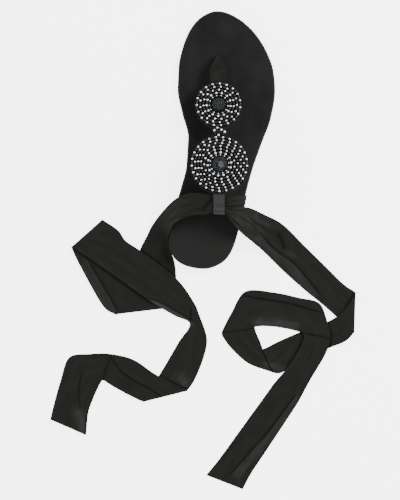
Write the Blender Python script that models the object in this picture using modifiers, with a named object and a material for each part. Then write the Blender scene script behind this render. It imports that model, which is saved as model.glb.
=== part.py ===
"""Right-foot thong sandal with a beaded T-strap and sash ties laid on the ground.

The shoe stands on z = 0 with its toe towards +Y and its outer side towards +X, in metres. The sole is
lofted from a plan table and a rise table, the T-strap is one sheet along a spine that climbs from the toe
post, and the sash is a band through the ribbon keeper with two free ties that lie on the ground in flat
folds.
"""
import math
from collections import namedtuple

import bmesh
import bpy
from mathutils import Matrix, Vector

MM = 0.001

# Sole
SOLE_LENGTH = 250 * MM
BALL_WIDTH = 95 * MM
HEEL_RISE = 8.0 * MM
TOE_SPRING = 7.0 * MM
OUTSOLE_THICKNESS = 3.5 * MM
INSOLE_THICKNESS = 4.0 * MM
INSOLE_STEP = 1.0 * MM
FOOTBED_DISH = 1.2 * MM
ARCH_RAISE = 2.5 * MM
SOLE_BEVEL = 0.6 * MM
HEEL_INSET = 1.6 * MM
HEEL_LENGTH = 62 * MM
HEEL_BREAST_CURVE = 5.0 * MM
SEAM_GAP = 0.3 * MM

# T-strap
STRAP_WALL = 1.8 * MM
STRAP_TOE_WIDTH = 3.8 * MM
STRAP_TAB_WIDTH = 15.6 * MM
STRAP_BRIDGE_WIDTH = 12.5 * MM
TAB_LENGTH = 32.5 * MM
BRIDGE_LENGTH = 6.6 * MM
BACKING_RIM = 1.5 * MM
FRONT_BEAD_RADIUS = 22.0 * MM
BACK_BEAD_RADIUS = 27.4 * MM
STRAP_TOE_LIFT = 0.8 * MM
POST_RADIUS = 2.0 * MM
POST_FLARE = 1.25
POST_SETBACK = 1.8 * MM

# Beads and medallion centres
BEAD_SIZE = 2.8 * MM
RING_PITCH = 2.95 * MM
FRONT_BUTTON_RADIUS = 7.2 * MM
BACK_BUTTON_RADIUS = 8.0 * MM
BUTTON_HEIGHT = 3.6 * MM
GEM_RADIUS = 3.4 * MM
GEM_HEIGHT = 2.0 * MM
SEAT_CLEARANCE = 0.3 * MM

# Keeper and sash
KEEPER_WIDTH = 10.8 * MM
KEEPER_LENGTH = 19.5 * MM
KEEPER_ROOM = 7.6 * MM
KEEPER_WALL = 1.0 * MM
KEEPER_TAIL = 7.0 * MM
BAND_WALL = 1.4 * MM
BAND_HALF_WIDTH = 8.2 * MM
BAND_OVERHANG = 0.1 * MM
TIE_WALL = 0.9 * MM
TIE_WIDTH = 36.4 * MM
TIE_LAYER_GAP = 0.5 * MM
TIE_TURN = 1.6 * MM

# Sampling
SOLE_STATIONS = 34
SOLE_COLUMNS = 8
DISC_STATIONS = 14
STRAP_COLUMNS = 6
TURNED_STEPS = 32

# Plan of the sole: share of the length from the heel's back, then the inner and outer edge as shares of the
# ball width measured from the shoe's middle line.
Plan = namedtuple("Plan", "along inner outer")
PLAN = (
    Plan(0.000, -0.135, -0.135),
    Plan(0.010, -0.312, -0.012),
    Plan(0.038, -0.424, 0.098),
    Plan(0.084, -0.478, 0.169),
    Plan(0.146, -0.490, 0.212),
    Plan(0.222, -0.452, 0.242),
    Plan(0.309, -0.395, 0.273),
    Plan(0.402, -0.354, 0.324),
    Plan(0.500, -0.355, 0.397),
    Plan(0.598, -0.433, 0.473),
    Plan(0.691, -0.494, 0.500),
    Plan(0.778, -0.498, 0.472),
    Plan(0.854, -0.467, 0.389),
    Plan(0.916, -0.411, 0.274),
    Plan(0.962, -0.330, 0.138),
    Plan(0.990, -0.229, 0.000),
    Plan(1.000, -0.128, -0.128),
)

# Height of the outsole's underside, as shares of the heel rise and of the toe spring.
Rise = namedtuple("Rise", "along heel toe")
RISE = (
    Rise(0.00, 1.00, 0.00),
    Rise(0.25, 1.00, 0.00),
    Rise(0.33, 0.90, 0.00),
    Rise(0.41, 0.55, 0.00),
    Rise(0.48, 0.20, 0.00),
    Rise(0.54, 0.03, 0.00),
    Rise(0.58, 0.00, 0.00),
    Rise(0.80, 0.00, 0.00),
    Rise(0.88, 0.00, 0.17),
    Rise(0.95, 0.00, 0.56),
    Rise(1.00, 0.00, 1.00),
)
ARCH_CENTRE = 0.42
ARCH_SPREAD = 0.12

# The toe post's place, as shares of the ball width and the sole's length.
POST_ACROSS = -0.108
POST_ALONG = 0.824

# The strap's spine. Each stretch runs to the next bend: its slope and its heading away from the shoe's axis
# at its end.
Bend = namedtuple("Bend", "name reach slope heading")
TAB_BENDS = (
    Bend("rise", 0.00, 76, 4),
    Bend("shoulder", 0.16, 74, 4),
    Bend("tab", 0.34, 33, 4),
    Bend("tab end", 1.00, 15, 5),
)
FRONT_DISC_SLOPE, FRONT_DISC_HEADING = 15, 5
BACK_DISC_SLOPE, BACK_DISC_HEADING = 11, 4

# The tab's outline: share of its length, its width as a share of the tab's, and how far its edges fold down.
Tab = namedtuple("Tab", "reach width drop")
TAB = (
    Tab(0.00, 0.25, 0.10),
    Tab(0.16, 0.27, 0.20),
    Tab(0.26, 0.32, 0.30),
    Tab(0.34, 0.43, 0.32),
    Tab(0.42, 0.60, 0.28),
    Tab(0.52, 0.80, 0.20),
    Tab(0.62, 0.93, 0.12),
    Tab(0.76, 1.00, 0.05),
    Tab(1.00, 1.00, 0.00),
)

# The anchored band, from the keeper to the sole's edge: shares of that distance on the inner and the outer
# side, of the height it falls, of its half width, and of its drift towards the heel.
BandRow = namedtuple("BandRow", "name inner outer up width drift")
BAND = (
    BandRow("crossing", 0.00, 0.00, 1.00, 0.68, 0.00),
    BandRow("mouth", 0.20, 0.24, 1.00, 0.69, 0.00),
    BandRow("shoulder", 0.44, 0.50, 0.90, 0.84, 0.40),
    BandRow("fall", 0.70, 0.80, 0.66, 0.90, 0.80),
    BandRow("belly", 0.90, 1.05, 0.40, 0.86, 1.00),
    BandRow("side", 0.98, 1.08, 0.22, 0.84, 1.00),
    BandRow("seat", 1.00, 1.00, 0.10, 0.84, 1.00),
    BandRow("end", 1.00, 1.00, 0.00, 0.84, 1.00),
)
BAND_INNER_DRIFT = 5.0 * MM
BAND_OUTER_DRIFT = -3.6 * MM

# Rows across each tie, in millimetres from the keeper's middle. Edge a is the front edge where the tie leaves
# the keeper, hang the height as a share of the keeper's, layer the cloth's number from the ground, and a turn
# is a fold.
TieRow = namedtuple("TieRow", "name ax ay bx by hang_a hang_b layer turn")
TIE_LEFT = (
    TieRow("crossing", -1, 7, -1, -7, 1.00, 1.00, 1, False),
    TieRow("mouth", -6.5, 7.1, -6.5, -7.3, 1.00, 1.00, 1, False),
    TieRow("flare", -13, 8.8, -13, -9.8, 0.97, 0.98, 1, False),
    TieRow("over footbed", -24, 9.2, -24, -11.4, 0.90, 0.93, 1, False),
    TieRow("over footbed out", -34, 6.8, -33, -13.6, 0.77, 0.83, 1, False),
    TieRow("over edge", -43.5, 1.2, -40.5, -19, 0.58, 0.66, 1, False),
    TieRow("beside", -54, -11, -45.6, -27, 0.31, 0.48, 1, False),
    TieRow("down", -62.3, -23.6, -47.2, -36, 0.10, 0.24, 1, False),
    TieRow("ground", -67.4, -35.4, -44.9, -46, 0.01, 0.07, 1, False),
    TieRow("first run", -72.5, -47.6, -40.6, -56, 0.00, 0.01, 1, False),
    TieRow("first run mid", -75.5, -61, -38.2, -67, 0.00, 0.00, 1, False),
    TieRow("first run low", -79, -75, -38.4, -80, 0.00, 0.00, 1, False),
    TieRow("first fold", -93.4, -112.3, -48.8, -104, 0.00, 0.00, 1, True),
    TieRow("second run", -106, -103.5, -68, -80, 0.00, 0.00, 2, False),
    TieRow("second run top", -130.5, -66, -101, -37, 0.00, 0.00, 2, False),
    TieRow("second fold", -139.4, -50, -112, -22.2, 0.00, 0.00, 2, True),
    TieRow("third run", -120, -60, -96.2, -31.6, 0.00, 0.00, 3, False),
    TieRow("third run wave", -109, -67, -88, -41.3, 0.00, 0.00, 3, False),
    TieRow("third run mid", -94, -76, -73.4, -50, 0.00, 0.00, 3, False),
    TieRow("third run low", -60, -97, -37.2, -74.2, 0.00, 0.00, 3, False),
    TieRow("narrowing", -36.2, -109.5, -18.9, -95.4, 0.00, 0.00, 2, False),
    TieRow("pinch", -20.6, -116.8, -12, -108.2, 0.00, 0.00, 1, False),
    TieRow("fourth run", -29.8, -135, -3.8, -129.5, 0.00, 0.00, 1, False),
    TieRow("fourth run low", -39.4, -154.6, -5.6, -148, 0.00, 0.00, 1, False),
    TieRow("fourth run last", -53, -181, -13, -170.4, 0.00, 0.00, 1, False),
    TieRow("third fold", -60.5, -195, -19.4, -181.8, 0.00, 0.00, 1, True),
    TieRow("fifth run", -72.8, -190, -49.8, -168.8, 0.00, 0.00, 2, False),
    TieRow("fifth run mid", -88, -183, -73.2, -155.5, 0.00, 0.00, 1, False),
    TieRow("corner in", -99.2, -177.1, -96, -151.4, 0.00, 0.00, 1, False),
    TieRow("corner mid", -101.4, -176.4, -116, -152.8, 0.00, 0.00, 1, False),
    TieRow("corner out", -104, -179.6, -134.6, -157.4, 0.00, 0.00, 1, False),
    TieRow("tail", -109.4, -193.4, -141.5, -180.4, 0.00, 0.00, 1, False),
    TieRow("tail low", -113.7, -209, -146.5, -204, 0.00, 0.00, 1, False),
    TieRow("tip", -114.6, -230.8, -149, -218.4, 0.00, 0.00, 1, False),
)
TIE_RIGHT = (
    TieRow("crossing", 1, -1, 1, -6.6, 1.00, 1.00, 1, False),
    TieRow("keeper side", 6, -2.6, 6, -7.1, 1.00, 1.00, 1, False),
    TieRow("mouth", 10, -3, 9.6, -11.2, 0.97, 0.97, 1, False),
    TieRow("over footbed", 17.5, -2.6, 15.5, -17.6, 0.86, 0.89, 1, False),
    TieRow("over edge", 28.5, -1.5, 23.5, -25.4, 0.60, 0.67, 1, False),
    TieRow("down", 45, -7.5, 35.6, -34.1, 0.26, 0.36, 1, False),
    TieRow("ground", 63, -16, 47.4, -43, 0.05, 0.09, 1, False),
    TieRow("first run", 85, -35, 66.4, -59.4, 0.00, 0.00, 1, False),
    TieRow("first run mid", 107, -54, 89, -77.2, 0.00, 0.00, 1, False),
    TieRow("first run low", 125, -69.4, 108.4, -91, 0.00, 0.00, 1, False),
    TieRow("first fold", 137.4, -76.7, 138.5, -114.8, 0.00, 0.00, 1, True),
    TieRow("second run", 129, -94, 130, -124, 0.00, 0.00, 2, False),
    TieRow("second run under", 112, -107, 114, -132, 0.00, 0.00, 1, False),
    TieRow("ring foot", 87.6, -118, 95, -145, 0.00, 0.00, 1, False),
    TieRow("ring foot low", 67.5, -128.2, 78.8, -152.6, 0.00, 0.00, 1, False),
    TieRow("corner one", 52, -137, 68.5, -158.8, 0.00, 0.00, 1, False),
    TieRow("corner one out", 50.2, -134, 56.6, -156.8, 0.00, 0.00, 1, False),
    TieRow("ring left low", 48.1, -130, 38, -151, 0.00, 0.00, 1, False),
    TieRow("ring left mid", 43.9, -122.3, 22.5, -138.9, 0.00, 0.00, 1, False),
    TieRow("corner two low", 42.3, -118.4, 14.4, -129.8, 0.00, 0.00, 1, False),
    TieRow("corner two", 41.8, -116.2, 11.2, -124, 0.00, 0.00, 1, False),
    TieRow("corner two high", 42.4, -115.6, 13.5, -116.8, 0.00, 0.00, 1, False),
    TieRow("ring left high", 45, -115, 19.2, -104.2, 0.00, 0.00, 1, False),
    TieRow("corner three", 50, -114, 31.4, -82.8, 0.00, 0.00, 1, False),
    TieRow("ring top", 63, -114, 59, -82, 0.00, 0.00, 1, False),
    TieRow("ring top end", 79, -116, 83, -85.5, 0.00, 0.00, 2, False),
    TieRow("corner four", 88, -118, 102.4, -89.2, 0.00, 0.00, 2, False),
    TieRow("ring right", 90, -120, 110.7, -104.1, 0.00, 0.00, 2, False),
    TieRow("ring right low", 91, -123, 115, -122, 0.00, 0.00, 2, False),
    TieRow("tail start", 87, -135, 111.6, -138, 0.00, 0.00, 2, False),
    TieRow("tail", 77.6, -152, 99, -163, 0.00, 0.00, 2, False),
    TieRow("tail upper", 64.7, -169.5, 90.4, -181.6, 0.00, 0.00, 1, False),
    TieRow("tail mid", 59.1, -178.5, 85, -192, 0.00, 0.00, 1, False),
    TieRow("tail low", 34.5, -217.6, 62, -232, 0.00, 0.00, 1, False),
    TieRow("tail last", 18.3, -243.4, 47.5, -257.2, 0.00, 0.00, 1, False),
    TieRow("tip", 5.2, -262.3, 40, -273.3, 0.00, 0.00, 1, False),
)
TIE_TABLE_WIDTH = 35 * MM


def monotone(knots, at):
    """Value at one place of a smooth curve through (place, value) knots that never overshoots them."""
    places = [place for place, _ in knots]
    values = [value for _, value in knots]
    if at <= places[0]:
        return values[0]
    if at >= places[-1]:
        return values[-1]
    slopes = [(values[i + 1] - values[i]) / (places[i + 1] - places[i]) for i in range(len(knots) - 1)]
    tangents = [slopes[0]]
    for before, after in zip(slopes, slopes[1:]):
        tangents.append(0.0 if before * after <= 0 else 2 * before * after / (before + after))
    tangents.append(slopes[-1])
    i = max(k for k in range(len(places) - 1) if places[k] <= at)
    span = places[i + 1] - places[i]
    t = (at - places[i]) / span
    return (
        (2 * t**3 - 3 * t**2 + 1) * values[i]
        + (t**3 - 2 * t**2 + t) * span * tangents[i]
        + (3 * t**2 - 2 * t**3) * values[i + 1]
        + (t**3 - t**2) * span * tangents[i + 1]
    )


def through(points, at):
    """Point of a Catmull-Rom curve at index at, which may fall between two points."""
    i = min(int(at), len(points) - 2)
    t = at - i
    p1, p2 = points[i], points[i + 1]
    p0 = points[i - 1] if i else p1 * 2 - p2
    p3 = points[i + 2] if i + 2 < len(points) else p2 * 2 - p1
    square = (2 * p0 - 5 * p1 + 4 * p2 - p3) * t**2
    cube = (3 * p1 - p0 - 3 * p2 + p3) * t**3
    return 0.5 * (2 * p1 + (p2 - p0) * t + square + cube)


def turn_of(along):
    """Angle that spreads the stations, so that the rounded ends get the most."""
    return math.acos(1 - 2 * along)


def sole_y(along):
    """Place along the shoe, heel to toe."""
    return (along - 0.5) * SOLE_LENGTH


def plan_edges(along):
    """Inner and outer edge of the sole at one share of its length, before it is centred."""
    inner = monotone([(turn_of(row.along), row.inner) for row in PLAN], turn_of(along))
    outer = monotone([(turn_of(row.along), row.outer) for row in PLAN], turn_of(along))
    return inner * BALL_WIDTH, outer * BALL_WIDTH


def plan_middle():
    """Middle of the sole's widest reach to both sides."""
    edges = [plan_edges(k / 200) for k in range(201)]
    return (min(edge[0] for edge in edges) + max(edge[1] for edge in edges)) / 2


MIDDLE = plan_middle()


def sole_edges(y):
    """Inner and outer edge of the sole at one place along the shoe."""
    inner, outer = plan_edges(min(max(y / SOLE_LENGTH + 0.5, 0.0), 1.0))
    return inner - MIDDLE, outer - MIDDLE


def underside(y):
    """Height of the outsole's underside over the ground."""
    along = min(max(y / SOLE_LENGTH + 0.5, 0.0), 1.0)
    heel = monotone([(row.along, row.heel) for row in RISE], along)
    toe = monotone([(row.along, row.toe) for row in RISE], along)
    return heel * HEEL_RISE + toe * TOE_SPRING


def outsole_top(y):
    """Height of the outsole's upper face."""
    return underside(y) + OUTSOLE_THICKNESS


def footbed(x, y):
    """Height of the insole's upper face: dished along the middle and raised at the inner arch."""
    inner, outer = sole_edges(y)
    across = (2 * x - inner - outer) / max(outer - inner, 1 * MM)
    dish = FOOTBED_DISH * (1 - min(across**2, 1.0))
    along = y / SOLE_LENGTH + 0.5
    arch = math.exp(-(((along - ARCH_CENTRE) / ARCH_SPREAD) ** 2)) * max(-across, 0.0) ** 2
    return outsole_top(y) + SEAM_GAP + INSOLE_THICKNESS - dish + ARCH_RAISE * arch


def outline(inset, last=1.0):
    """The sole's outline as paired inner and outer points from heel to toe, drawn in by inset.

    The first pair meets at the heel's back, and the last one at the toe's tip when last is 1.
    """
    shares = [(1 - math.cos(math.pi * k / SOLE_STATIONS)) / 2 for k in range(SOLE_STATIONS + 1)]
    shares = [share for share in shares if share < last - 0.004] + [last]
    loop = [Vector((plan_edges(s)[0] - MIDDLE, sole_y(s))) for s in shares]
    outer = [Vector((plan_edges(s)[1] - MIDDLE, sole_y(s))) for s in shares]
    closed = last > 0.999
    ring = loop + (outer[-2:0:-1] if closed else outer[:0:-1])
    drawn = []
    for k, point in enumerate(ring):
        ahead = (ring[(k + 1) % len(ring)] - ring[k - 1]).normalized()
        inward = Vector((ahead.y, -ahead.x))
        if not closed and k in (len(shares) - 1, len(shares)):
            inward = Vector((math.copysign(1.0, -point.x), 0.0))
        drawn.append(point + inward * inset)
    inner = drawn[: len(shares)]
    rest = drawn[len(shares):][::-1]
    return inner, ([inner[0]] + rest + [inner[-1]] if closed else [inner[0]] + rest)


def clear_scene():
    """Remove what the file holds."""
    for item in list(bpy.data.objects):
        bpy.data.objects.remove(item, do_unlink=True)


def collection(name):
    """A new collection in the scene."""
    made = bpy.data.collections.new(name)
    bpy.context.scene.collection.children.link(made)
    return made


def finish(name, colour, roughness, metallic=0.0):
    """A plain material with the piece's colour."""
    made = bpy.data.materials.new(name)
    made.use_nodes = True
    shader = made.node_tree.nodes["Principled BSDF"]
    shader.inputs["Base Color"].default_value = (*colour, 1.0)
    shader.inputs["Roughness"].default_value = roughness
    shader.inputs["Metallic"].default_value = metallic
    return made


def place(name, bm, parts, material, smooth_deg=35):
    """Turn a bmesh into a named object of the sandal."""
    mesh = bpy.data.meshes.new(name)
    bm.to_mesh(mesh)
    bm.free()
    mesh.shade_smooth()
    mesh.set_sharp_from_angle(angle=math.radians(smooth_deg))
    made = bpy.data.objects.new(name, mesh)
    made.data.materials.append(material)
    parts.objects.link(made)
    return made


def face(bm, corners):
    """A face over the corners, without repeated ones."""
    kept = [corner for k, corner in enumerate(corners) if corner is not corners[k - 1]]
    if len(kept) > 2:
        bm.faces.new(kept)


def sole_solid(levels, last=1.0, breast=0.0):
    """Closed solid between the first and last of several outlines.

    Each level has its inset and a height function of x and y. A solid that stops short of the toe has a breast
    there, hollowed towards the heel.
    """
    bm = bmesh.new()
    grids = []
    for inset, height in levels:
        inner, outer = outline(inset, last)
        rows = []
        for k, (a, b) in enumerate(zip(inner, outer)):
            spread = [a.lerp(b, c / SOLE_COLUMNS) for c in range(SOLE_COLUMNS + 1)]
            if breast and k == len(inner) - 1:
                hollow = [breast * math.sin(math.pi * c / SOLE_COLUMNS) for c in range(SOLE_COLUMNS + 1)]
                spread = [p - Vector((0, inward)) for p, inward in zip(spread, hollow)]
            if (a - b).length < 1e-9:
                tip = bm.verts.new((a.x, a.y, height(a.x, a.y)))
                rows.append([tip] * (SOLE_COLUMNS + 1))
            else:
                rows.append([bm.verts.new((p.x, p.y, height(p.x, p.y))) for p in spread])
        grids.append(rows)
    for flipped, rows in ((True, grids[0]), (False, grids[-1])):
        for near, far in zip(rows, rows[1:]):
            for c in range(SOLE_COLUMNS):
                corners = [near[c], near[c + 1], far[c + 1], far[c]]
                face(bm, corners[::-1] if flipped else corners)
    for low, high in zip(grids, grids[1:]):
        for near in range(len(low) - 1):
            face(bm, [low[near + 1][0], low[near][0], high[near][0], high[near + 1][0]])
            face(bm, [low[near][-1], low[near + 1][-1], high[near + 1][-1], high[near][-1]])
        if low[-1][0] is not low[-1][-1]:
            for c in range(SOLE_COLUMNS):
                face(bm, [low[-1][c + 1], low[-1][c], high[-1][c], high[-1][c + 1]])
    loose = [vert for vert in bm.verts if not vert.link_faces]
    bmesh.ops.delete(bm, geom=loose, context="VERTS")
    return bm


def build_outsole(parts, rubber):
    """Rubber sheet with the sole's outline, its toe spring and its waist."""
    levels = (
        (SOLE_BEVEL, lambda x, y: underside(y)),
        (0.0, lambda x, y: underside(y) + SOLE_BEVEL),
        (0.0, lambda x, y: outsole_top(y) - SOLE_BEVEL / 2),
        (SOLE_BEVEL / 2, lambda x, y: outsole_top(y)),
    )
    return place("outsole", sole_solid(levels), parts, rubber)


def build_heel_lift(parts, rubber):
    """Low block that carries the heel, flat on the ground."""
    top = HEEL_RISE - SEAM_GAP
    levels = (
        (HEEL_INSET + SOLE_BEVEL, lambda x, y: 0.0),
        (HEEL_INSET, lambda x, y: SOLE_BEVEL),
        (HEEL_INSET - SOLE_BEVEL, lambda x, y: top),
    )
    bm = sole_solid(levels, HEEL_LENGTH / SOLE_LENGTH, HEEL_BREAST_CURVE)
    return place("heel_lift", bm, parts, rubber)


def build_insole(parts, suede):
    """Suede-covered footbed, stepped in from the outsole's edge with a rolled upper edge."""
    roll = INSOLE_THICKNESS / 3
    levels = (
        (INSOLE_STEP, lambda x, y: outsole_top(y) + SEAM_GAP),
        (INSOLE_STEP, lambda x, y: footbed(x, y) - roll),
        (INSOLE_STEP + roll * 0.35, lambda x, y: footbed(x, y) - roll * 0.35),
        (INSOLE_STEP + roll, lambda x, y: footbed(x, y)),
    )
    return place("insole", sole_solid(levels), parts, suede)


Station = namedtuple("Station", "at point ahead side up half drop")


def spine_bends():
    """Slope and heading of the strap's spine against its length."""
    front = FRONT_BEAD_RADIUS + BACKING_RIM
    back = BACK_BEAD_RADIUS + BACKING_RIM
    bends = [(bend.reach * TAB_LENGTH, bend.slope, bend.heading) for bend in TAB_BENDS]
    at = TAB_LENGTH + 2 * front
    bends.append((at, FRONT_DISC_SLOPE, FRONT_DISC_HEADING))
    at += BRIDGE_LENGTH
    bends.append((at, BACK_DISC_SLOPE, BACK_DISC_HEADING))
    bends.append((at + 2 * back, BACK_DISC_SLOPE, BACK_DISC_HEADING))
    return bends


def disc_centres():
    """Length along the spine, and the backing's radius, of the front and the back disc."""
    front = FRONT_BEAD_RADIUS + BACKING_RIM
    back = BACK_BEAD_RADIUS + BACKING_RIM
    return (TAB_LENGTH + front, front), (TAB_LENGTH + 2 * front + BRIDGE_LENGTH + back, back)


def trace_spine():
    """Points of the spine every half millimetre, from the toe post to the back disc's rear edge."""
    bends = spine_bends()
    slopes = [(at, slope) for at, slope, _ in bends]
    headings = [(at, heading) for at, _, heading in bends]
    x, y = POST_ACROSS * BALL_WIDTH, sole_y(POST_ALONG)
    point = Vector((x, y, footbed(x, y) + STRAP_TOE_LIFT))
    step = 0.5 * MM
    trace = []
    for k in range(int(bends[-1][0] / step) + 2):
        slope = math.radians(monotone(slopes, k * step))
        heading = math.radians(monotone(headings, k * step))
        flat = Vector((math.sin(heading), -math.cos(heading), 0.0))
        ahead = flat * math.cos(slope) + Vector((0.0, 0.0, math.sin(slope)))
        side = Vector((math.cos(heading), math.sin(heading), 0.0))
        trace.append((k * step, point.copy(), ahead, side))
        point += ahead * step
    return trace


SPINE = trace_spine()


def station(at, half, drop=0.0):
    """One section of the strap: its place, its axes, its half width and how far its edges fold down."""
    k = min(int(at / (0.5 * MM)), len(SPINE) - 1)
    start, point, ahead, side = SPINE[k]
    point = point + ahead * (at - start)
    return Station(at, point, ahead, side, side.cross(ahead).normalized() * -1, half, drop)


def strap_stations():
    """Sections of the T-strap from the toe to the back disc's rear edge."""
    widths = [(row.reach * TAB_LENGTH, row.width * STRAP_TAB_WIDTH / 2) for row in TAB]
    widths[0] = (0.0, STRAP_TOE_WIDTH / 2)
    widths[1] = (widths[1][0], STRAP_TOE_WIDTH / 2 * 1.1)
    drops = [(row.reach * TAB_LENGTH, row.drop) for row in TAB]
    (front_at, front), (back_at, back) = disc_centres()
    neck = [
        (TAB_LENGTH, STRAP_TAB_WIDTH / 2),
        (front_at, STRAP_BRIDGE_WIDTH / 2),
        (back_at, STRAP_BRIDGE_WIDTH / 2),
        (back_at + back, 2.0 * MM),
    ]
    ats = [TAB_LENGTH * share for share in (0.0, 0.08, 0.16, 0.22, 0.28, 0.35, 0.45, 0.58, 0.72, 0.86)]
    for centre, radius in ((front_at, front), (back_at, back)):
        ats += [centre - radius * math.cos(math.pi * k / DISC_STATIONS) for k in range(DISC_STATIONS + 1)]
        ats.append(centre + radius + BRIDGE_LENGTH / 2)
    rows = []
    for at in ats[:-1]:
        half = monotone(widths, at) if at < TAB_LENGTH else monotone(neck, at)
        for centre, radius in ((front_at, front), (back_at, back)):
            if abs(at - centre) < radius:
                half = max(half, math.sqrt(radius**2 - (at - centre) ** 2))
        rows.append(station(at, half, monotone(drops, at) if at < TAB_LENGTH else 0.0))
    return rows


def sheet(name, rows, wall, parts, material, even=True):
    """Solid of one wall thickness around an open surface of point rows."""
    bm = bmesh.new()
    grid = [[bm.verts.new(point) for point in row] for row in rows]
    for near, far in zip(grid, grid[1:]):
        for c in range(len(near) - 1):
            bm.faces.new((near[c], near[c + 1], far[c + 1], far[c]))
    made = place(name, bm, parts, material, 50)
    thicken = made.modifiers.new("wall", "SOLIDIFY")
    thicken.thickness = wall
    thicken.offset = 0.0
    thicken.use_even_offset = even
    return made


def build_upper(parts, suede):
    """The T-strap: pointed tab, two discs and the bridge between them, one sheet with a real wall."""
    rows = []
    for s in strap_stations():
        row = []
        for c in range(STRAP_COLUMNS + 1):
            across = 2 * c / STRAP_COLUMNS - 1
            row.append(s.point + s.side * across * s.half - s.up * s.drop * s.half * across**2)
        rows.append(row)
    return sheet("upper", rows, STRAP_WALL, parts, suede)


def build_toe_post(parts, suede):
    """Round post behind the strap's folded toe end, from the footbed up under the tab."""
    start = station(TAB_LENGTH * 0.16, 0.0).point
    x, y = start.x, SPINE[0][1].y - STRAP_WALL / 2 - SEAM_GAP - POST_RADIUS - POST_SETBACK
    foot = max(footbed(x, y + side * POST_RADIUS * POST_FLARE) for side in (-1, 1)) + SEAM_GAP
    over = min(s.point.z for s in strap_stations() if s.point.y < y + POST_RADIUS + 0.5 * MM)
    top = over - STRAP_WALL * 1.2 - SEAM_GAP
    bm = bmesh.new()
    wide, narrow = POST_RADIUS * POST_FLARE, POST_RADIUS
    bmesh.ops.create_cone(bm, cap_ends=True, segments=16, radius1=wide, radius2=narrow, depth=top - foot)
    bmesh.ops.translate(bm, verts=bm.verts, vec=(x, y, (top + foot) / 2))
    return place("toe_post", bm, parts, suede)


def disc_frame(at, lift):
    """Matrix that stands a turned piece on the strap's upper face at one length along the spine."""
    s = station(at, 0.0)
    base = s.point + s.up * lift
    axes = Matrix((s.side, s.ahead * -1, s.up)).transposed().to_4x4()
    return Matrix.Translation(base) @ axes


def turned(name, profile, where, parts, material):
    """Solid turned around its own Z axis from a profile in radius and height, then stood in its place.

    A profile that runs from the axis at the top to the axis at the bottom gives a knob, and a closed one gives
    a ring.
    """
    bm = bmesh.new()
    verts = [bm.verts.new((radius, 0.0, height)) for radius, height in profile]
    edges = list(zip(verts, verts[1:]))
    if profile[0][0] > 0:
        edges.append((verts[-1], verts[0]))
    for a, b in edges:
        bm.edges.new((a, b))
    made = place(name, bm, parts, material)
    screw = made.modifiers.new("turn", "SCREW")
    screw.steps = screw.render_steps = TURNED_STEPS
    screw.use_merge_vertices = True
    screw.merge_threshold = 0.02 * MM
    screw.use_normal_calculate = False
    made.matrix_world = where
    return made


def bead_profile(outer, hole):
    """Closed profile of a bead field: a flat base with one round ridge for each ring of beads."""
    profile = [(outer, 0.0), (hole, 0.0), (hole, BEAD_SIZE * 0.55)]
    for k in reversed(range(int((outer - hole) / RING_PITCH))):
        centre = outer - RING_PITCH * (k + 0.5)
        profile.append((centre - RING_PITCH * 0.2, BEAD_SIZE))
        profile.append((centre + RING_PITCH * 0.2, BEAD_SIZE))
        profile.append((centre + RING_PITCH * 0.5, BEAD_SIZE * 0.55))
    return profile


def button_profile(radius, height, flat):
    """Profile of a domed button with a small flat top."""
    arc = [
        (flat + (radius - flat) * math.sin(a), height * (0.3 + 0.7 * math.cos(a)))
        for a in (math.pi / 2 * k / 5 for k in range(6))
    ]
    return [(0.0, height)] + arc + [(radius, 0.0), (0.0, 0.0)]


def build_medallions(parts, beads, fabric, crystal):
    """Bead fields and domed centres on both discs, with a cut gem on the back one."""
    seat = STRAP_WALL / 2 + SEAT_CLEARANCE
    (front_at, _), (back_at, _) = disc_centres()
    discs = (
        ("front", front_at, FRONT_BEAD_RADIUS, FRONT_BUTTON_RADIUS),
        ("back", back_at, BACK_BEAD_RADIUS, BACK_BUTTON_RADIUS),
    )
    for side, at, outer, button in discs:
        where = disc_frame(at, seat)
        turned("beads_" + side, bead_profile(outer, button + SEAT_CLEARANCE), where, parts, beads)
        dome = button_profile(button, BUTTON_HEIGHT, GEM_RADIUS * 1.1)
        turned("button_" + side, dome, where, parts, fabric)
    where = disc_frame(back_at, seat + BUTTON_HEIGHT + SEAT_CLEARANCE)
    bm = bmesh.new()
    bmesh.ops.create_cone(
        bm, cap_ends=True, segments=10, radius1=GEM_RADIUS, radius2=GEM_RADIUS * 0.55, depth=GEM_HEIGHT
    )
    bmesh.ops.translate(bm, verts=bm.verts, vec=(0, 0, GEM_HEIGHT / 2))
    gem = place("gem", bm, parts, crystal, 20)
    gem.matrix_world = where


def build_bridge_beads(parts, beads):
    """Short pad of beads on the bridge between the discs."""
    (front_at, front), _ = disc_centres()
    at = front_at + front + BRIDGE_LENGTH / 2
    where = disc_frame(at, STRAP_WALL / 2 + SEAT_CLEARANCE)
    bm = bmesh.new()
    bmesh.ops.create_cube(bm, size=1.0)
    length = BRIDGE_LENGTH + 2 * BACKING_RIM - 2 * SEAT_CLEARANCE
    bmesh.ops.scale(bm, verts=bm.verts, vec=(STRAP_BRIDGE_WIDTH - 2 * BACKING_RIM, length, BEAD_SIZE))
    bmesh.ops.translate(bm, verts=bm.verts, vec=(0, 0, BEAD_SIZE / 2 + 0.2 * MM))
    pad = place("beads_bridge", bm, parts, beads)
    bevel = pad.modifiers.new("rounded", "BEVEL")
    bevel.width = BEAD_SIZE * 0.3
    bevel.segments = 2
    pad.matrix_world = where


def keeper_centre():
    """Middle of the room inside the keeper, below the back disc's rear edge."""
    end = SPINE[-1][1]
    drop = STRAP_WALL / 2 + SEAM_GAP + KEEPER_WALL + KEEPER_ROOM / 2
    return Vector((end.x, end.y - KEEPER_LENGTH / 2 - 0.5 * MM, end.z - drop))


KEEPER = keeper_centre()


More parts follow.
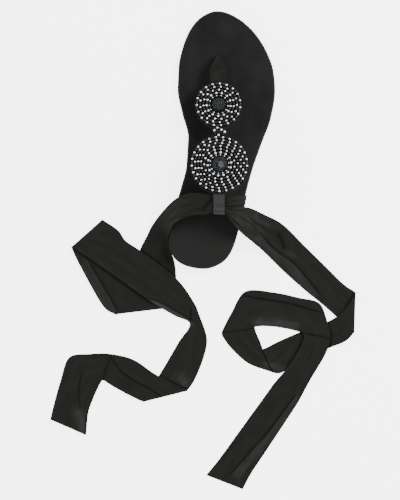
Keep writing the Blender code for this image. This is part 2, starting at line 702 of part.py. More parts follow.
def build_keeper(parts, ribbon):
    """Ribbon loop round the sash, with its tail sewn under the back disc and its end back under the tail."""
    half = KEEPER_LENGTH / 2 - KEEPER_WALL / 2
    room = KEEPER_ROOM / 2 + KEEPER_WALL / 2
    slope = math.tan(math.radians(BACK_DISC_SLOPE))
    tail = [Vector((half + KEEPER_TAIL * share, room - KEEPER_TAIL * share * slope)) for share in (1.0, 0.5)]
    path = tail + [Vector((half - room * 0.4, room))]
    for k in range(9):
        angle = math.pi / 2 + math.pi * k / 8
        path.append(Vector((-half + room + room * math.cos(angle), room * math.sin(angle))))
    path.append(Vector((half - room, -room)))
    for k in range(1, 5):
        angle = -math.pi / 2 + math.pi / 2 * k / 4
        path.append(Vector((half - room + room * math.cos(angle), room * math.sin(angle))))
    under = room - KEEPER_WALL - SEAM_GAP - KEEPER_TAIL * 0.1 * slope
    path.append(Vector((half, under - 0.8 * MM)))
    path.append(Vector((half + KEEPER_TAIL * 0.3, under - KEEPER_TAIL * 0.25 * slope)))
    rows = []
    for point in path:
        y, z = KEEPER.y + point.x, KEEPER.z + point.y
        rows.append([Vector((KEEPER.x + side * KEEPER_WIDTH / 2, y, z)) for side in (-1, 0, 1)])
    return sheet("keeper", rows, KEEPER_WALL, parts, ribbon)


def band_row(band, side, crossing):
    """One row across the anchored band on the inner (-1) or the outer (1) side."""
    out, drift = (band.inner, BAND_INNER_DRIFT) if side < 0 else (band.outer, BAND_OUTER_DRIFT)
    row = []
    for share in (-1, 0, 1):
        y = KEEPER.y + share * BAND_HALF_WIDTH * band.width - band.drift * drift
        edge = sole_edges(y)[0 if side < 0 else 1] + side * BAND_OVERHANG
        seat = outsole_top(y) + SEAM_GAP
        row.append(Vector((KEEPER.x + out * (edge - KEEPER.x), y, seat + band.up * (crossing - seat))))
    return row


def build_side_band(parts, cloth):
    """Sash through the keeper, down to the outsole's ledge beside the insole on both sides."""
    crossing = KEEPER.z - KEEPER_ROOM / 2 + SEAM_GAP + BAND_WALL / 2 + 0.2 * MM
    rows = [band_row(band, -1, crossing) for band in reversed(BAND)]
    rows += [band_row(band, 1, crossing) for band in BAND[1:]]
    return sheet("side_band", rows, BAND_WALL, parts, cloth)


def tie_rows(table, crossing):
    """Edge points of a tie, row by row, with three rows to each fold."""
    lowest = SEAM_GAP + TIE_WALL / 2
    pitch = TIE_WALL + TIE_LAYER_GAP
    spread = TIE_WIDTH / TIE_TABLE_WIDTH
    rows = []
    for row in table:
        a = Vector((row.ax, row.ay)) * MM
        b = Vector((row.bx, row.by)) * MM
        middle = (a + b) / 2
        a, b = middle + (a - middle) * spread, middle + (b - middle) * spread
        heights = []
        for hang in (row.hang_a, row.hang_b):
            rest = lowest + (row.layer - 1) * pitch
            heights.append(rest + hang * (crossing - rest))
        rows.append((
            Vector((KEEPER.x + a.x, KEEPER.y + a.y, heights[0])),
            Vector((KEEPER.x + b.x, KEEPER.y + b.y, heights[1])),
            row.turn,
        ))
    return rows


def towards(start, goal, reach, height):
    """Point that lies reach from start on the way to goal, at a set height."""
    way = Vector((goal.x - start.x, goal.y - start.y))
    step = way.normalized() * min(reach, way.length / 2)
    return Vector((start.x + step.x, start.y + step.y, height))


def tie_runs(rows):
    """Split a tie's rows into its flat runs, each ending just short of a fold."""
    runs, folds, run = [], [], []
    for k, (a, b, turn) in enumerate(rows):
        if not turn:
            run.append((a, b))
            continue
        before, after = rows[k - 1], rows[k + 1]
        run.append(tuple(towards(p, q, TIE_TURN, q.z) for p, q in zip((a, b), before)))
        runs.append(run)
        folds.append((
            Vector((a.x, a.y, (before[0].z + after[0].z) / 2)),
            Vector((b.x, b.y, (before[1].z + after[1].z) / 2)),
        ))
        run = [tuple(towards(p, q, TIE_TURN, q.z) for p, q in zip((a, b), after))]
    runs.append(run)
    return runs, folds


def smooth_run(run, pieces=3):
    """Rows of one flat run with its edges drawn as smooth curves between the table's rows."""
    edges = [[Vector(row[side][:2]) for row in run] for side in (0, 1)]
    heights = [[(float(k), row[side].z) for k, row in enumerate(run)] for side in (0, 1)]
    rows = []
    for k in range((len(run) - 1) * pieces + 1):
        at = k / pieces
        ends = []
        for side in (0, 1):
            flat = through(edges[side], at)
            ends.append(Vector((flat.x, flat.y, monotone(heights[side], at))))
        rows.append(ends)
    return rows


def build_tie(name, table, parts, cloth):
    """Free end of the sash, from the keeper over the sole's edge to the ground, where it lies in flat folds."""
    crossing = KEEPER.z + KEEPER_ROOM / 2 - SEAM_GAP - TIE_WALL - 0.6 * MM
    runs, folds = tie_runs(tie_rows(table, crossing))
    rows = []
    for k, run in enumerate(runs):
        rows += smooth_run(run)
        if k < len(folds):
            rows.append(list(folds[k]))
    return sheet(name, rows, TIE_WALL, parts, cloth, even=False)


def main():
    """Build the whole sandal."""
    clear_scene()
    parts = collection("thong_sandal")
    suede = finish("suede", (0.022, 0.021, 0.022), 0.9)
    rubber = finish("rubber", (0.018, 0.018, 0.018), 0.6)
    cloth = finish("sheer_cloth", (0.02, 0.022, 0.018), 0.7)
    ribbon = finish("ribbon", (0.05, 0.05, 0.052), 0.5)
    beads = finish("beads", (0.35, 0.36, 0.35), 0.25, 0.6)
    fabric = finish("button_cloth", (0.03, 0.034, 0.04), 0.6)
    crystal = finish("crystal", (0.08, 0.1, 0.12), 0.1)
    build_outsole(parts, rubber)
    build_heel_lift(parts, rubber)
    build_insole(parts, suede)
    build_upper(parts, suede)
    build_toe_post(parts, suede)
    build_medallions(parts, beads, fabric, crystal)
    build_bridge_beads(parts, beads)
    build_keeper(parts, ribbon)
    build_side_band(parts, cloth)
    build_tie("tie_left", TIE_LEFT, parts, cloth)
    build_tie("tie_right", TIE_RIGHT, parts, cloth)


main()
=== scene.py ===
"""Looks of a right-foot thong sandal: suede footbed, beaded T-strap, ribbon keeper and a sheer sash on the ground.

Each part of the shoe is a class that holds its own sizes, in metres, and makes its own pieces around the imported
solids. The toe points to +Y and the outer side to +X.
"""

import functools
import logging
import math
from collections.abc import Callable
from dataclasses import dataclass
from enum import Enum
from typing import Any, NamedTuple

import bmesh
import bpy
import numpy as np
from mathutils import Matrix, Vector


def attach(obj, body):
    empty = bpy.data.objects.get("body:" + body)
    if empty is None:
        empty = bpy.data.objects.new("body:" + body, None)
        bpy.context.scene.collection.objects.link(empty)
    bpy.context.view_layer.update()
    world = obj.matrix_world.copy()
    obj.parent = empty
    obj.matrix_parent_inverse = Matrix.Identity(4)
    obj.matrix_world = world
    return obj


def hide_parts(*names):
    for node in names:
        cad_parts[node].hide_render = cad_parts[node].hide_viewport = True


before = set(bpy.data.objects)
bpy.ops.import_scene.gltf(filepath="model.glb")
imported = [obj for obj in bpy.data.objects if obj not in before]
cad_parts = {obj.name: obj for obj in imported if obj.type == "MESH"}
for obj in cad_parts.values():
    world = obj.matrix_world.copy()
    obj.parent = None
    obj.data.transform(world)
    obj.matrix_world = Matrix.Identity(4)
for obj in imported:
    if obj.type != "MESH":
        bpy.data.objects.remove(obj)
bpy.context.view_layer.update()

MM = 0.001
BODY = "root"
LOG = logging.getLogger("sandal")

# Edges bent by more than this are sharp, on cloth and leather sheets and on solids.
SHEET_EDGE_DEG = 50.0
SOLID_EDGE_DEG = 40.0
# Share of the fine fibres in the tone of a nap.
FIBRE_SHARE = 0.45
# A thread's tone changes this much more slowly along the cloth than across it.
SLUB_STRETCH = 0.3
# Smallest and largest bead as a share of the named size.
BEAD_SPREAD = (0.93, 1.06)
# Turn from one seed bead to the next, in radians, as in a sunflower.
GOLDEN_TURN = 2.39996

Colour = tuple[float, float, float]
Table = tuple[tuple[float, ...], ...]


class Slot(Enum):
    """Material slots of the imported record."""

    OUTSOLE = "outsole"
    HEEL_LIFT = "heel_lift"
    INSOLE = "insole"
    UPPER = "upper"
    BEADS = "beads"
    BUTTON = "button"
    GEM = "gem"
    KEEPER = "keeper"
    SASH = "sash"


# Curves and meshes


def flowing(places: Any, values: Any, at: Any) -> np.ndarray:
    """Values of a smooth curve through knots that never overshoots them.

    Args:
        places: Places of the knots, rising.
        values: Values at the knots.
        at: Places to read.

    Returns:
        The value at each place.
    """
    x, y, at = (np.asarray(v, float) for v in (places, values, at))
    slopes = np.diff(y) / np.diff(x)
    before, after = slopes[:-1], slopes[1:]
    product = before * after
    total = np.where(product > 0, before + after, 1.0)
    inner = np.where(product > 0, 2 * product / total, 0.0)
    tangents = np.concatenate(([slopes[0]], inner, [slopes[-1]]))
    at = np.clip(at, x[0], x[-1])
    i = np.clip(np.searchsorted(x, at, side="right") - 1, 0, len(x) - 2)
    span = x[i + 1] - x[i]
    t = (at - x[i]) / span
    return (
        (2 * t**3 - 3 * t**2 + 1) * y[i]
        + (t**3 - 2 * t**2 + t) * span * tangents[i]
        + (3 * t**2 - 2 * t**3) * y[i + 1]
        + (t**3 - t**2) * span * tangents[i + 1]
    )


def through(points: np.ndarray, at: np.ndarray) -> np.ndarray:
    """Points of a Catmull-Rom curve.

    Args:
        points: The curve's knots, one row each.
        at: Indices to read, which may fall between two knots.

    Returns:
        One point for each index.
    """
    i = np.minimum(at.astype(int), len(points) - 2)
    t = (at - i)[:, None]
    padded = np.vstack([2 * points[0] - points[1], points, 2 * points[-1] - points[-2]])
    p0, p1, p2, p3 = (padded[i + k] for k in range(4))
    square, cube = 2 * p0 - 5 * p1 + 4 * p2 - p3, 3 * p1 - p0 - 3 * p2 + p3
    return 0.5 * (2 * p1 + (p2 - p0) * t + square * t**2 + cube * t**3)


def eased(low: float, high: float, at: Any) -> np.ndarray:
    """Share from 0 at low to 1 at high with soft ends."""
    t = np.clip((np.asarray(at, float) - low) / (high - low), 0.0, 1.0)
    return t * t * (3 - 2 * t)


def soft_noise(x: np.ndarray, y: np.ndarray, size: float, seed: float = 0.0) -> np.ndarray:
    """Smooth waves from about -1 to 1 with no visible repeat.

    Args:
        x: Places along one direction.
        y: Places along the other.
        size: Typical wave length, in the units of x and y.
        seed: Shift of the waves.

    Returns:
        A value for each place.
    """
    total = np.zeros(np.broadcast(x, y).shape)
    for k, (turn, stretch) in enumerate(((0.3, 1.0), (1.5, 0.73), (2.4, 1.31), (4.1, 0.57), (5.2, 1.9))):
        along = (x * math.cos(turn) + y * math.sin(turn)) * stretch
        total += np.sin(2 * math.pi * along / size + seed * (k + 1.7) + 1.3 * k) / (1 + 0.35 * k)
    return total / 2.6


def lengths_along(grid: np.ndarray) -> np.ndarray:
    """Length walked from a grid's first row.

    Args:
        grid: Points as rows, columns and coordinates.

    Returns:
        The mean length to each row, for each of its points.
    """
    steps = np.linalg.norm(np.diff(grid, axis=0), axis=2).mean(axis=1)
    return np.concatenate([[0], np.cumsum(steps)])[:, None] * np.ones(grid.shape[1])


def drawn_in(path: np.ndarray, ahead: np.ndarray, inset: float) -> np.ndarray:
    """Move plan points to the right of the way they run.

    Args:
        path: Plan points.
        ahead: Direction at each point, of any length.
        inset: How far to move them.

    Returns:
        The moved points.
    """
    ahead = ahead / np.linalg.norm(ahead, axis=1, keepdims=True)
    return path + np.column_stack([ahead[:, 1], -ahead[:, 0]]) * inset


def new_object(name: str, data: Any) -> Any:
    """Put new data into the scene.

    Args:
        name: The object's name.
        data: A mesh, camera or light.

    Returns:
        The new object.
    """
    made = bpy.data.objects.new(name, data)
    bpy.context.scene.collection.objects.link(made)
    return made


def new_piece(name: str, vertices: np.ndarray, faces: list, material: Any, sharp_deg: float = 180.0) -> Any:
    """Make a mesh object at the origin.

    Args:
        name: The piece's name.
        vertices: One row for each point, in metres.
        faces: Corner indices of each face.
        material: The piece's finish.
        sharp_deg: Edges bent by more than this are shaded sharp.

    Returns:
        The new object.
    """
    mesh = bpy.data.meshes.new(name)
    mesh.from_pydata(vertices.tolist(), [], faces)
    mesh.shade_smooth()
    if sharp_deg < 180:
        mesh.set_sharp_from_angle(angle=math.radians(sharp_deg))
    mesh.materials.append(material)
    return new_object(name, mesh)


def settle(piece: Any, node: str) -> None:
    """Let a finished piece ride on the sandal and hide the solid that it stands for.

    Args:
        piece: The piece.
        node: The CAD node that it replaces.
    """
    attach(piece, BODY)
    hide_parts(node)
    LOG.info("%s: %d faces, stands for %s", piece.name, len(piece.data.polygons), node)


def grid_faces(rows: int, columns: int, start: int = 0, flip: bool = False) -> list[tuple[int, ...]]:
    """Faces over a grid of points.

    Args:
        rows: Number of rows of points.
        columns: Number of points in a row.
        start: Index of the first point.
        flip: Whether the faces look the other way.

    Returns:
        Corner indices of each face.
    """
    faces = []
    for r in range(rows - 1):
        for c in range(columns - 1):
            i = start + r * columns + c
            face = (i, i + 1, i + columns + 1, i + columns)
            faces.append(face[::-1] if flip else face)
    return faces


def normals_of(grid: np.ndarray) -> np.ndarray:
    """Find the way a grid of points faces.

    Args:
        grid: Points as rows, columns and coordinates.

    Returns:
        Unit normals, across the columns and then along the rows.
    """
    normals = np.cross(np.gradient(grid, axis=1), np.gradient(grid, axis=0))
    return normals / np.maximum(np.linalg.norm(normals, axis=2, keepdims=True), 1e-12)


def shell(
    name: str, grid: np.ndarray, wall: Any, material: Any, marks: dict[str, np.ndarray] | None = None
) -> Any:
    """Closed sheet around a grid of points, with its wall split evenly to both sides.

    Args:
        name: The piece's name.
        grid: Points as rows, columns and coordinates.
        wall: Thickness, one value or one for each point.
        material: The piece's finish.
        marks: Values for each point that the finish reads by name.

    Returns:
        The new object.
    """
    rows, columns, _ = grid.shape
    half = normals_of(grid) * (np.broadcast_to(wall, (rows, columns))[..., None] / 2)
    count = rows * columns
    vertices = np.vstack([(grid + half).reshape(-1, 3), (grid - half).reshape(-1, 3)])
    faces = grid_faces(rows, columns) + grid_faces(rows, columns, count, True)
    last = (rows - 1) * columns
    for c in range(columns - 1):
        faces.append((c + 1, c, c + count, c + 1 + count))
        faces.append((last + c, last + c + 1, last + c + 1 + count, last + c + count))
    for r in range(rows - 1):
        i, j = r * columns, (r + 1) * columns
        faces.append((i, j, j + count, i + count))
        i, j = i + columns - 1, j + columns - 1
        faces.append((j, i, i + count, j + count))
    piece = new_piece(name, vertices, faces, material, SHEET_EDGE_DEG)
    for mark, values in (marks or {}).items():
        layer = piece.data.attributes.new(mark, "FLOAT", "POINT")
        layer.data.foreach_set("value", np.tile(values.reshape(-1), 2).astype(np.float32))
    return piece


def rings_solid(name: str, rings: list[np.ndarray], material: Any) -> Any:
    """Closed solid through a stack of point loops whose first and last loops fold flat on themselves.

    Args:
        name: The piece's name.
        rings: Loops of as many points each.
        material: The piece's finish.

    Returns:
        The new object.
    """
    count = len(rings[0])
    faces = []
    for k in range(len(rings) - 1):
        for i in range(count):
            j = (i + 1) % count
            faces.append((k * count + i, k * count + j, (k + 1) * count + j, (k + 1) * count + i))
    piece = new_piece(name, np.vstack(rings), faces, material)
    work = bmesh.new()
    work.from_mesh(piece.data)
    bmesh.ops.remove_doubles(work, verts=work.verts, dist=0.02 * MM)
    bmesh.ops.recalc_face_normals(work, faces=work.faces)
    work.to_mesh(piece.data)
    work.free()
    piece.data.shade_smooth()
    piece.data.set_sharp_from_angle(angle=math.radians(SOLID_EDGE_DEG))
    return piece


# Node trees


class Nodes:
    """A node tree that is being built."""

    def __init__(self, tree: Any) -> None:
        """Start on a tree."""
        self.tree = tree

    def add(self, kind: str, inputs: dict | None = None, **settings: Any) -> Any:
        """Add a node.

        Args:
            kind: The node's Blender type.
            inputs: Values or sockets to feed, by socket name or index.
            settings: The node's own options.

        Returns:
            The new node.
        """
        node = self.tree.nodes.new(kind)
        for key, value in settings.items():
            setattr(node, key, value)
        for key, value in (inputs or {}).items():
            self.feed(node.inputs[key], value)
        return node

    def feed(self, socket: Any, value: Any) -> None:
        """Give an input what it reads.

        Args:
            socket: The input.
            value: A socket to link into it, or a plain value.
        """
        if isinstance(value, bpy.types.NodeSocket):
            self.tree.links.new(value, socket)
        else:
            socket.default_value = value

    def sum(self, a: Any, b: Any, operation: str = "ADD", clamp: bool = False) -> Any:
        """Output of a Math node on two values."""
        return self.add("ShaderNodeMath", {0: a, 1: b}, operation=operation, use_clamp=clamp).outputs[0]

    def times(self, a: Any, b: Any) -> Any:
        """Product of two values."""
        return self.sum(a, b, "MULTIPLY")

    def vector(self, x: Any = 0.0, y: Any = 0.0, z: Any = 0.0) -> Any:
        """Vector of three values."""
        return self.add("ShaderNodeCombineXYZ", {0: x, 1: y, 2: z}).outputs[0]

    def ranged(self, value: Any, low: float, high: float, to_low: float = 0.0, to_high: float = 1.0) -> Any:
        """Value moved from one range into another."""
        ends = {"From Min": low, "From Max": high, "To Min": to_low, "To Max": to_high}
        return self.add("ShaderNodeMapRange", {"Value": value, **ends}).outputs[0]

    def place(self) -> Any:
        """Place on the piece, in metres."""
        return self.add("ShaderNodeTexCoord").outputs["Object"]

    def noise(self, place: Any, scale: Any, detail: float, roughness: float = 0.5) -> Any:
        """Value of a noise, whose scale counts its waves in a metre."""
        given = {"Vector": place, "Scale": scale, "Detail": detail, "Roughness": roughness}
        return self.add("ShaderNodeTexNoise", given).outputs[0]

    def mark(self, name: str) -> Any:
        """Value of a mark that a mesh carries."""
        return self.add("ShaderNodeAttribute", attribute_name=name).outputs["Fac"]

    def random(self, low: Any, high: Any, seed: Any) -> Any:
        """Random number or vector for each point.

        Args:
            low: Lowest value, a tuple for a vector.
            high: Highest value, of the same kind.
            seed: Seed of the draws.

        Returns:
            The node's output of that kind.
        """
        kind, output = ("FLOAT_VECTOR", 0) if isinstance(low, tuple) else ("FLOAT", 1)
        given = {"Min": low, "Max": high, "Seed": seed}
        return self.add("FunctionNodeRandomValue", given, data_type=kind).outputs[output]

    def blend(self, share: Any, low: Any, high: Any) -> Any:
        """Mix two colours.

        Args:
            share: Share of the second colour.
            low: First colour, as a socket or three numbers.
            high: Second colour, likewise.

        Returns:
            The mixed colour's socket.
        """
        node = self.add("ShaderNodeMix", data_type="RGBA")
        for key, value in ((0, share), (6, low), (7, high)):
            self.feed(node.inputs[key], (*value, 1.0) if isinstance(value, tuple) else value)
        return node.outputs[2]

    def bump(self, height: Any, distance: float, strength: float) -> Any:
        """Normal of a bumpy surface."""
        given = {"Height": height, "Distance": distance, "Strength": strength}
        return self.add("ShaderNodeBump", given).outputs[0]


def open_group(name: str, kind: str, inputs: dict[str, tuple[str, Any]], outputs: dict[str, str]) -> tuple:
    """Start a node group with named sockets.

    Args:
        name: The group's name.
        kind: ShaderNodeTree or GeometryNodeTree.
        inputs: Socket type and first value of each input.
        outputs: Socket type of each output.

    Returns:
        The builder, the sockets that the group is given by name, and its outputs node.
    """
    tree = bpy.data.node_groups.new(name, kind)
    for key, (socket_type, value) in inputs.items():
        socket = tree.interface.new_socket(name=key, in_out="INPUT", socket_type="NodeSocket" + socket_type)
        if value is not None:
            socket.default_value = value
    for key, socket_type in outputs.items():
        tree.interface.new_socket(name=key, in_out="OUTPUT", socket_type="NodeSocket" + socket_type)
    nodes = Nodes(tree)
    return nodes, nodes.add("NodeGroupInput").outputs, nodes.add("NodeGroupOutput")


@functools.cache
def nap_group() -> Any:
    """Build brushed nap: fine fibres and broad patches where they lie another way.

    Returns:
        The shader group.
    """
    nodes, given, out = open_group(
        "nap",
        "ShaderNodeTree",
        {"Fibre Scale": ("Float", 900.0), "Patch Scale": ("Float", 40.0)},
        {"Tone": "Float", "Height": "Float"},
    )
    place = nodes.place()
    fibre = nodes.noise(place, given["Fibre Scale"], 3.0)
    patch = nodes.noise(place, given["Patch Scale"], 4.0)
    mixed = nodes.sum(nodes.times(fibre, FIBRE_SHARE), nodes.times(patch, 1 - FIBRE_SHARE))
    nodes.feed(out.inputs["Tone"], nodes.ranged(mixed, 0.36, 0.64))
    nodes.feed(out.inputs["Height"], fibre)
    return nodes.tree


@functools.cache
def weave_group() -> Any:
    """Build a plain weave that follows a cloth's own width and length, with uneven threads.

    Returns:
        The shader group.
    """
    nodes, given, out = open_group(
        "weave",
        "ShaderNodeTree",
        {"Thread": ("Float", 0.4 * MM), "Slub": ("Float", 160.0)},
        {"Tone": "Float", "Height": "Float"},
    )
    waves = []
    for mark in ("across", "along"):
        turns = nodes.sum(nodes.mark(mark), given["Thread"], "DIVIDE")
        waves.append(nodes.sum(nodes.times(turns, 2 * math.pi), 0.0, "SINE"))
    where = nodes.vector(nodes.mark("across"), nodes.times(nodes.mark("along"), SLUB_STRETCH))
    nodes.feed(out.inputs["Tone"], nodes.noise(where, given["Slub"], 3.0))
    nodes.feed(out.inputs["Height"], nodes.times(nodes.times(*waves), 0.5))
    return nodes.tree


def new_finish(name: str, **sockets: Any) -> tuple:
    """Start a material and set constant values on its shader.

    Args:
        name: The material's name.
        sockets: Values by the shader's socket names with underscores for spaces.

    Returns:
        The material, its tree builder and its shader.
    """
    material = bpy.data.materials.new(name)
    material.use_nodes = True
    shader = material.node_tree.nodes["Principled BSDF"]
    for key, value in sockets.items():
        shader.inputs[key.replace("_", " ")].default_value = value
    return material, Nodes(material.node_tree), shader


# Finishes


@dataclass(frozen=True)
class SuedeFinish:
    """Near-black suede with a short nap, which may be lighter towards the heel, with painted light that lifts the
    shade the sash and the keeper cast on the footbed.
    """

    name: str
    deep: Colour
    brushed: Colour
    fibre_scale: float = 900.0
    patch_scale: float = 45.0
    painted_heel_light: float = 0.0
    light_from: float = 20 * MM
    light_to: float = -68 * MM

    def make(self) -> Any:
        """Build the material.

        Returns:
            The new material.
        """
        material, nodes, shader = new_finish(
            self.name, Roughness=0.95, Specular_IOR_Level=0.1, Sheen_Weight=0.03
        )
        scales = {"Fibre Scale": self.fibre_scale, "Patch Scale": self.patch_scale}
        nap = nodes.add("ShaderNodeGroup", scales, node_tree=nap_group())
        tone = nap.outputs["Tone"]
        if self.painted_heel_light:
            # Painted light: the tone rises towards the heel, from light_from to light_to, to lift the shade that the
            # sash and the keeper cast on the footbed.
            y = nodes.add("ShaderNodeSeparateXYZ", {0: nodes.place()}).outputs[1]
            tone = nodes.sum(tone, nodes.ranged(y, self.light_from, self.light_to, 0.0, self.painted_heel_light))
        nodes.feed(shader.inputs["Base Color"], nodes.blend(tone, self.deep, self.brushed))
        nodes.feed(shader.inputs["Normal"], nodes.bump(nap.outputs["Height"], 0.25 * MM, 0.5))
        return material


@dataclass(frozen=True)
class RubberFinish:
    """Matte black rubber with a fine moulded grain and faint scuffs."""

    name: str
    colour: Colour
    scuffed: Colour
    grain_scale: float = 1400.0
    scuff_scale: float = 60.0

    def make(self) -> Any:
        """Build the material.

        Returns:
            The new material.
        """
        material, nodes, shader = new_finish(self.name, Specular_IOR_Level=0.3)
        place = nodes.place()
        grain = nodes.add("ShaderNodeTexVoronoi", {"Vector": place, "Scale": self.grain_scale})
        scuff = nodes.noise(place, self.scuff_scale, 8.0, 0.7)
        worn = nodes.ranged(scuff, 0.5, 0.72)
        nodes.feed(shader.inputs["Base Color"], nodes.blend(worn, self.colour, self.scuffed))
        nodes.feed(shader.inputs["Roughness"], nodes.ranged(scuff, 0.0, 1.0, 0.5, 0.72))
        nodes.feed(shader.inputs["Normal"], nodes.bump(grain.outputs["Distance"], 0.15 * MM, 0.35))
        return material


@dataclass(frozen=True)
class ClothFinish:
    """Black sheer cloth: dull where it is doubled, lighter where one layer lies alone and where sheen is painted,
    with painted shade in its creases and under overlapping layers.
    """

    name: str
    doubled: Colour
    # Colour of one layer lying alone, which the painted sheen uses too.
    sheer_and_sheen: Colour
    # Colour of the painted shade in the creases and under overlapping layers.
    shaded_crease: Colour
    thread: float = 0.42 * MM
    mottle: float = 0.16

    def make(self) -> Any:
        """Build the material.

        Returns:
            The new material.
        """
        material, nodes, shader = new_finish(
            self.name, Roughness=0.75, Specular_IOR_Level=0.1, Sheen_Weight=0.02
        )
        weave = nodes.add("ShaderNodeGroup", {"Thread": self.thread}, node_tree=weave_group())
        slub = nodes.ranged(weave.outputs["Tone"], 0.32, 0.68)
        # Painted light: the colour goes lighter where one layer lies alone and where sheen is painted, and takes
        # painted shade along the creases and under overlapping layers.
        glint = nodes.sum(nodes.mark("sheer_and_sheen"), nodes.sum(slub, 0.55), "MULTIPLY", True)
        main = nodes.blend(nodes.times(slub, self.mottle), self.doubled, self.sheer_and_sheen)
        lit = nodes.blend(glint, main, self.sheer_and_sheen)
        nodes.feed(shader.inputs["Base Color"], nodes.blend(nodes.mark("shaded_crease"), lit, self.shaded_crease))
        nodes.feed(shader.inputs["Normal"], nodes.bump(weave.outputs["Height"], 0.05 * MM, 0.4))
        return material


@dataclass(frozen=True)
class RibbonFinish:
    """Black ribbon whose colour carries a painted satin sheen along its ribs and painted shade from its rib mark."""

    name: str
    deep: Colour
    # Colour of the painted sheen on the ribs.
    satin: Colour
    thread: float = 0.55 * MM

    def make(self) -> Any:
        """Build the material.

        Returns:
            The new material.
        """
        material, nodes, shader = new_finish(self.name, Roughness=0.45, Specular_IOR_Level=0.35)
        weave = nodes.add("ShaderNodeGroup", {"Thread": self.thread}, node_tree=weave_group())
        # Painted light: the rib mark lightens the crests of the ribs towards the satin colour, and its painted shade
        # takes the dip and the end under the disc down to the deep colour.
        tone = nodes.sum(nodes.mark("rib"), nodes.times(weave.outputs["Tone"], 0.5), "ADD", True)
        nodes.feed(shader.inputs["Base Color"], nodes.blend(tone, self.deep, self.satin))
        nodes.feed(shader.inputs["Normal"], nodes.bump(weave.outputs["Height"], 0.06 * MM, 0.4))
        return material


@dataclass(frozen=True)
class BeadFinish:
    """Glass bead, plated or plain, with slight differences from place to place."""

    name: str
    low: Colour
    high: Colour
    plated: float
    roughness: float
    coat: float = 0.4
    patch_scale: float = 420.0

    def make(self) -> Any:
        """Build the material.

        Returns:
            The new material.
        """
        material, nodes, shader = new_finish(
            self.name,
            Metallic=self.plated,
            Coat_Weight=self.coat,
            Coat_Roughness=0.06,
            Specular_IOR_Level=0.2 + self.coat,
        )
        patch = nodes.noise(nodes.place(), self.patch_scale, 2.0)
        rough = nodes.ranged(patch, 0.0, 1.0, self.roughness * 0.7, self.roughness * 1.3)
        nodes.feed(shader.inputs["Base Color"], nodes.blend(nodes.ranged(patch, 0.4, 0.6), self.low, self.high))
        nodes.feed(shader.inputs["Roughness"], rough)
        return material


# The footbed goes lighter towards the heel with painted light over the shade under the sash.
SUEDE = SuedeFinish("footbed_suede", (0.0078, 0.0078, 0.0075), (0.0145, 0.0144, 0.0138), painted_heel_light=0.8)
STRAP_SUEDE = SuedeFinish("strap_suede", (0.0062, 0.0064, 0.0058), (0.012, 0.0122, 0.0112), 1100.0, 90.0)
FELT = SuedeFinish("backing_felt", (0.0022, 0.0023, 0.0021), (0.0048, 0.005, 0.0045), 1300.0, 120.0)
RUBBER = RubberFinish("sole_rubber", (0.009, 0.009, 0.009), (0.022, 0.022, 0.022))
# The last colour is the painted shade of the creases and of the shadows under overlapping layers.
SHEER = ClothFinish("sheer_cloth", (0.0072, 0.0076, 0.006), (0.027, 0.028, 0.0255), (0.0015, 0.0016, 0.0012))
# The second colour is the painted sheen of the ribs.
SATIN = RibbonFinish("ribbon_satin", (0.0055, 0.0055, 0.0056), (0.0182, 0.0185, 0.0189))
SILVER = BeadFinish("silver_beads", (0.6, 0.61, 0.6), (0.88, 0.89, 0.88), 1.0, 0.2)
JET = BeadFinish("black_beads", (0.003, 0.0035, 0.003), (0.008, 0.009, 0.008), 0.0, 0.38, 0.08)
STEEL_BLUE = BeadFinish("blue_grey_beads", (0.011, 0.0135, 0.017), (0.03, 0.035, 0.042), 0.1, 0.55, 0.1)
STONE = BeadFinish("cut_stone", (0.022, 0.026, 0.03), (0.05, 0.056, 0.063), 0.1, 0.12, 0.3)


# Beads along circles, at points and over a dome


def run_tree(name: str, tree: Any, values: dict[str, Any], place: Matrix, spots: Any = ()) -> Any:
    """Evaluate a geometry tree into a plain mesh piece.

    Args:
        name: The piece's name.
        tree: The geometry node group.
        values: The tree's inputs by name.
        place: Where the tree's own origin goes.
        spots: Points that the tree works on, if it takes any.

    Returns:
        The new object, without modifiers.
    """
    source = bpy.data.meshes.new(name + "_source")
    source.from_pydata(list(spots), [], [])
    holder = new_object(name + "_source", source)
    modifier = holder.modifiers.new("nodes", "NODES")
    modifier.node_group = tree
    sockets = {item.name: item.identifier for item in tree.interface.items_tree if item.in_out == "INPUT"}
    for key, value in values.items():
        modifier[sockets[key]] = value
    bpy.context.view_layer.update()
    graph = bpy.context.evaluated_depsgraph_get()
    mesh = bpy.data.meshes.new_from_object(
        holder.evaluated_get(graph), preserve_all_data_layers=True, depsgraph=graph
    )
    bpy.data.objects.remove(holder)
    mesh.transform(place)
    mesh.name = name
    return new_object(name, mesh)


def bead_shape(nodes: Nodes, size: Any, stretch: Any = 1.0, segments: int = 10) -> Any:
    """One bead, a little flat and stretched along its thread.

    Args:
        nodes: The tree's builder.
        size: The bead's diameter.
        stretch: Its length as a multiple of its diameter.
        segments: Faces around it.

    Returns:
        A geometry socket.
    """
    globe = {"Segments": segments, "Rings": 6, "Radius": nodes.times(size, 0.5)}
    ball = nodes.add("GeometryNodeMeshUVSphere", globe)
    shape = {"Geometry": ball.outputs["Mesh"], "Scale": nodes.vector(1.0, stretch, 0.88)}
    shaped = nodes.add("GeometryNodeTransform", shape)
    return nodes.add("GeometryNodeSetShadeSmooth", {"Geometry": shaped.outputs[0]}).outputs[0]


def strewn(nodes: Nodes, points: Any, bead: Any, material: Any, **options: Any) -> Any:
    """Beads at points, as real faces with their finish.

    Args:
        nodes: The tree's builder.
        points: Geometry whose points carry a bead each.
        bead: Geometry of one bead.
        material: The beads' finish.
        options: Further inputs of Instance on Points by name.

    Returns:
        A geometry socket.
    """
    placed = nodes.add("GeometryNodeInstanceOnPoints", {"Points": points, "Instance": bead, **options})
    real = nodes.add("GeometryNodeRealizeInstances", {"Geometry": placed.outputs[0]})
    return nodes.add("GeometryNodeSetMaterial", {"Geometry": real.outputs[0], "Material": material}).outputs[0]


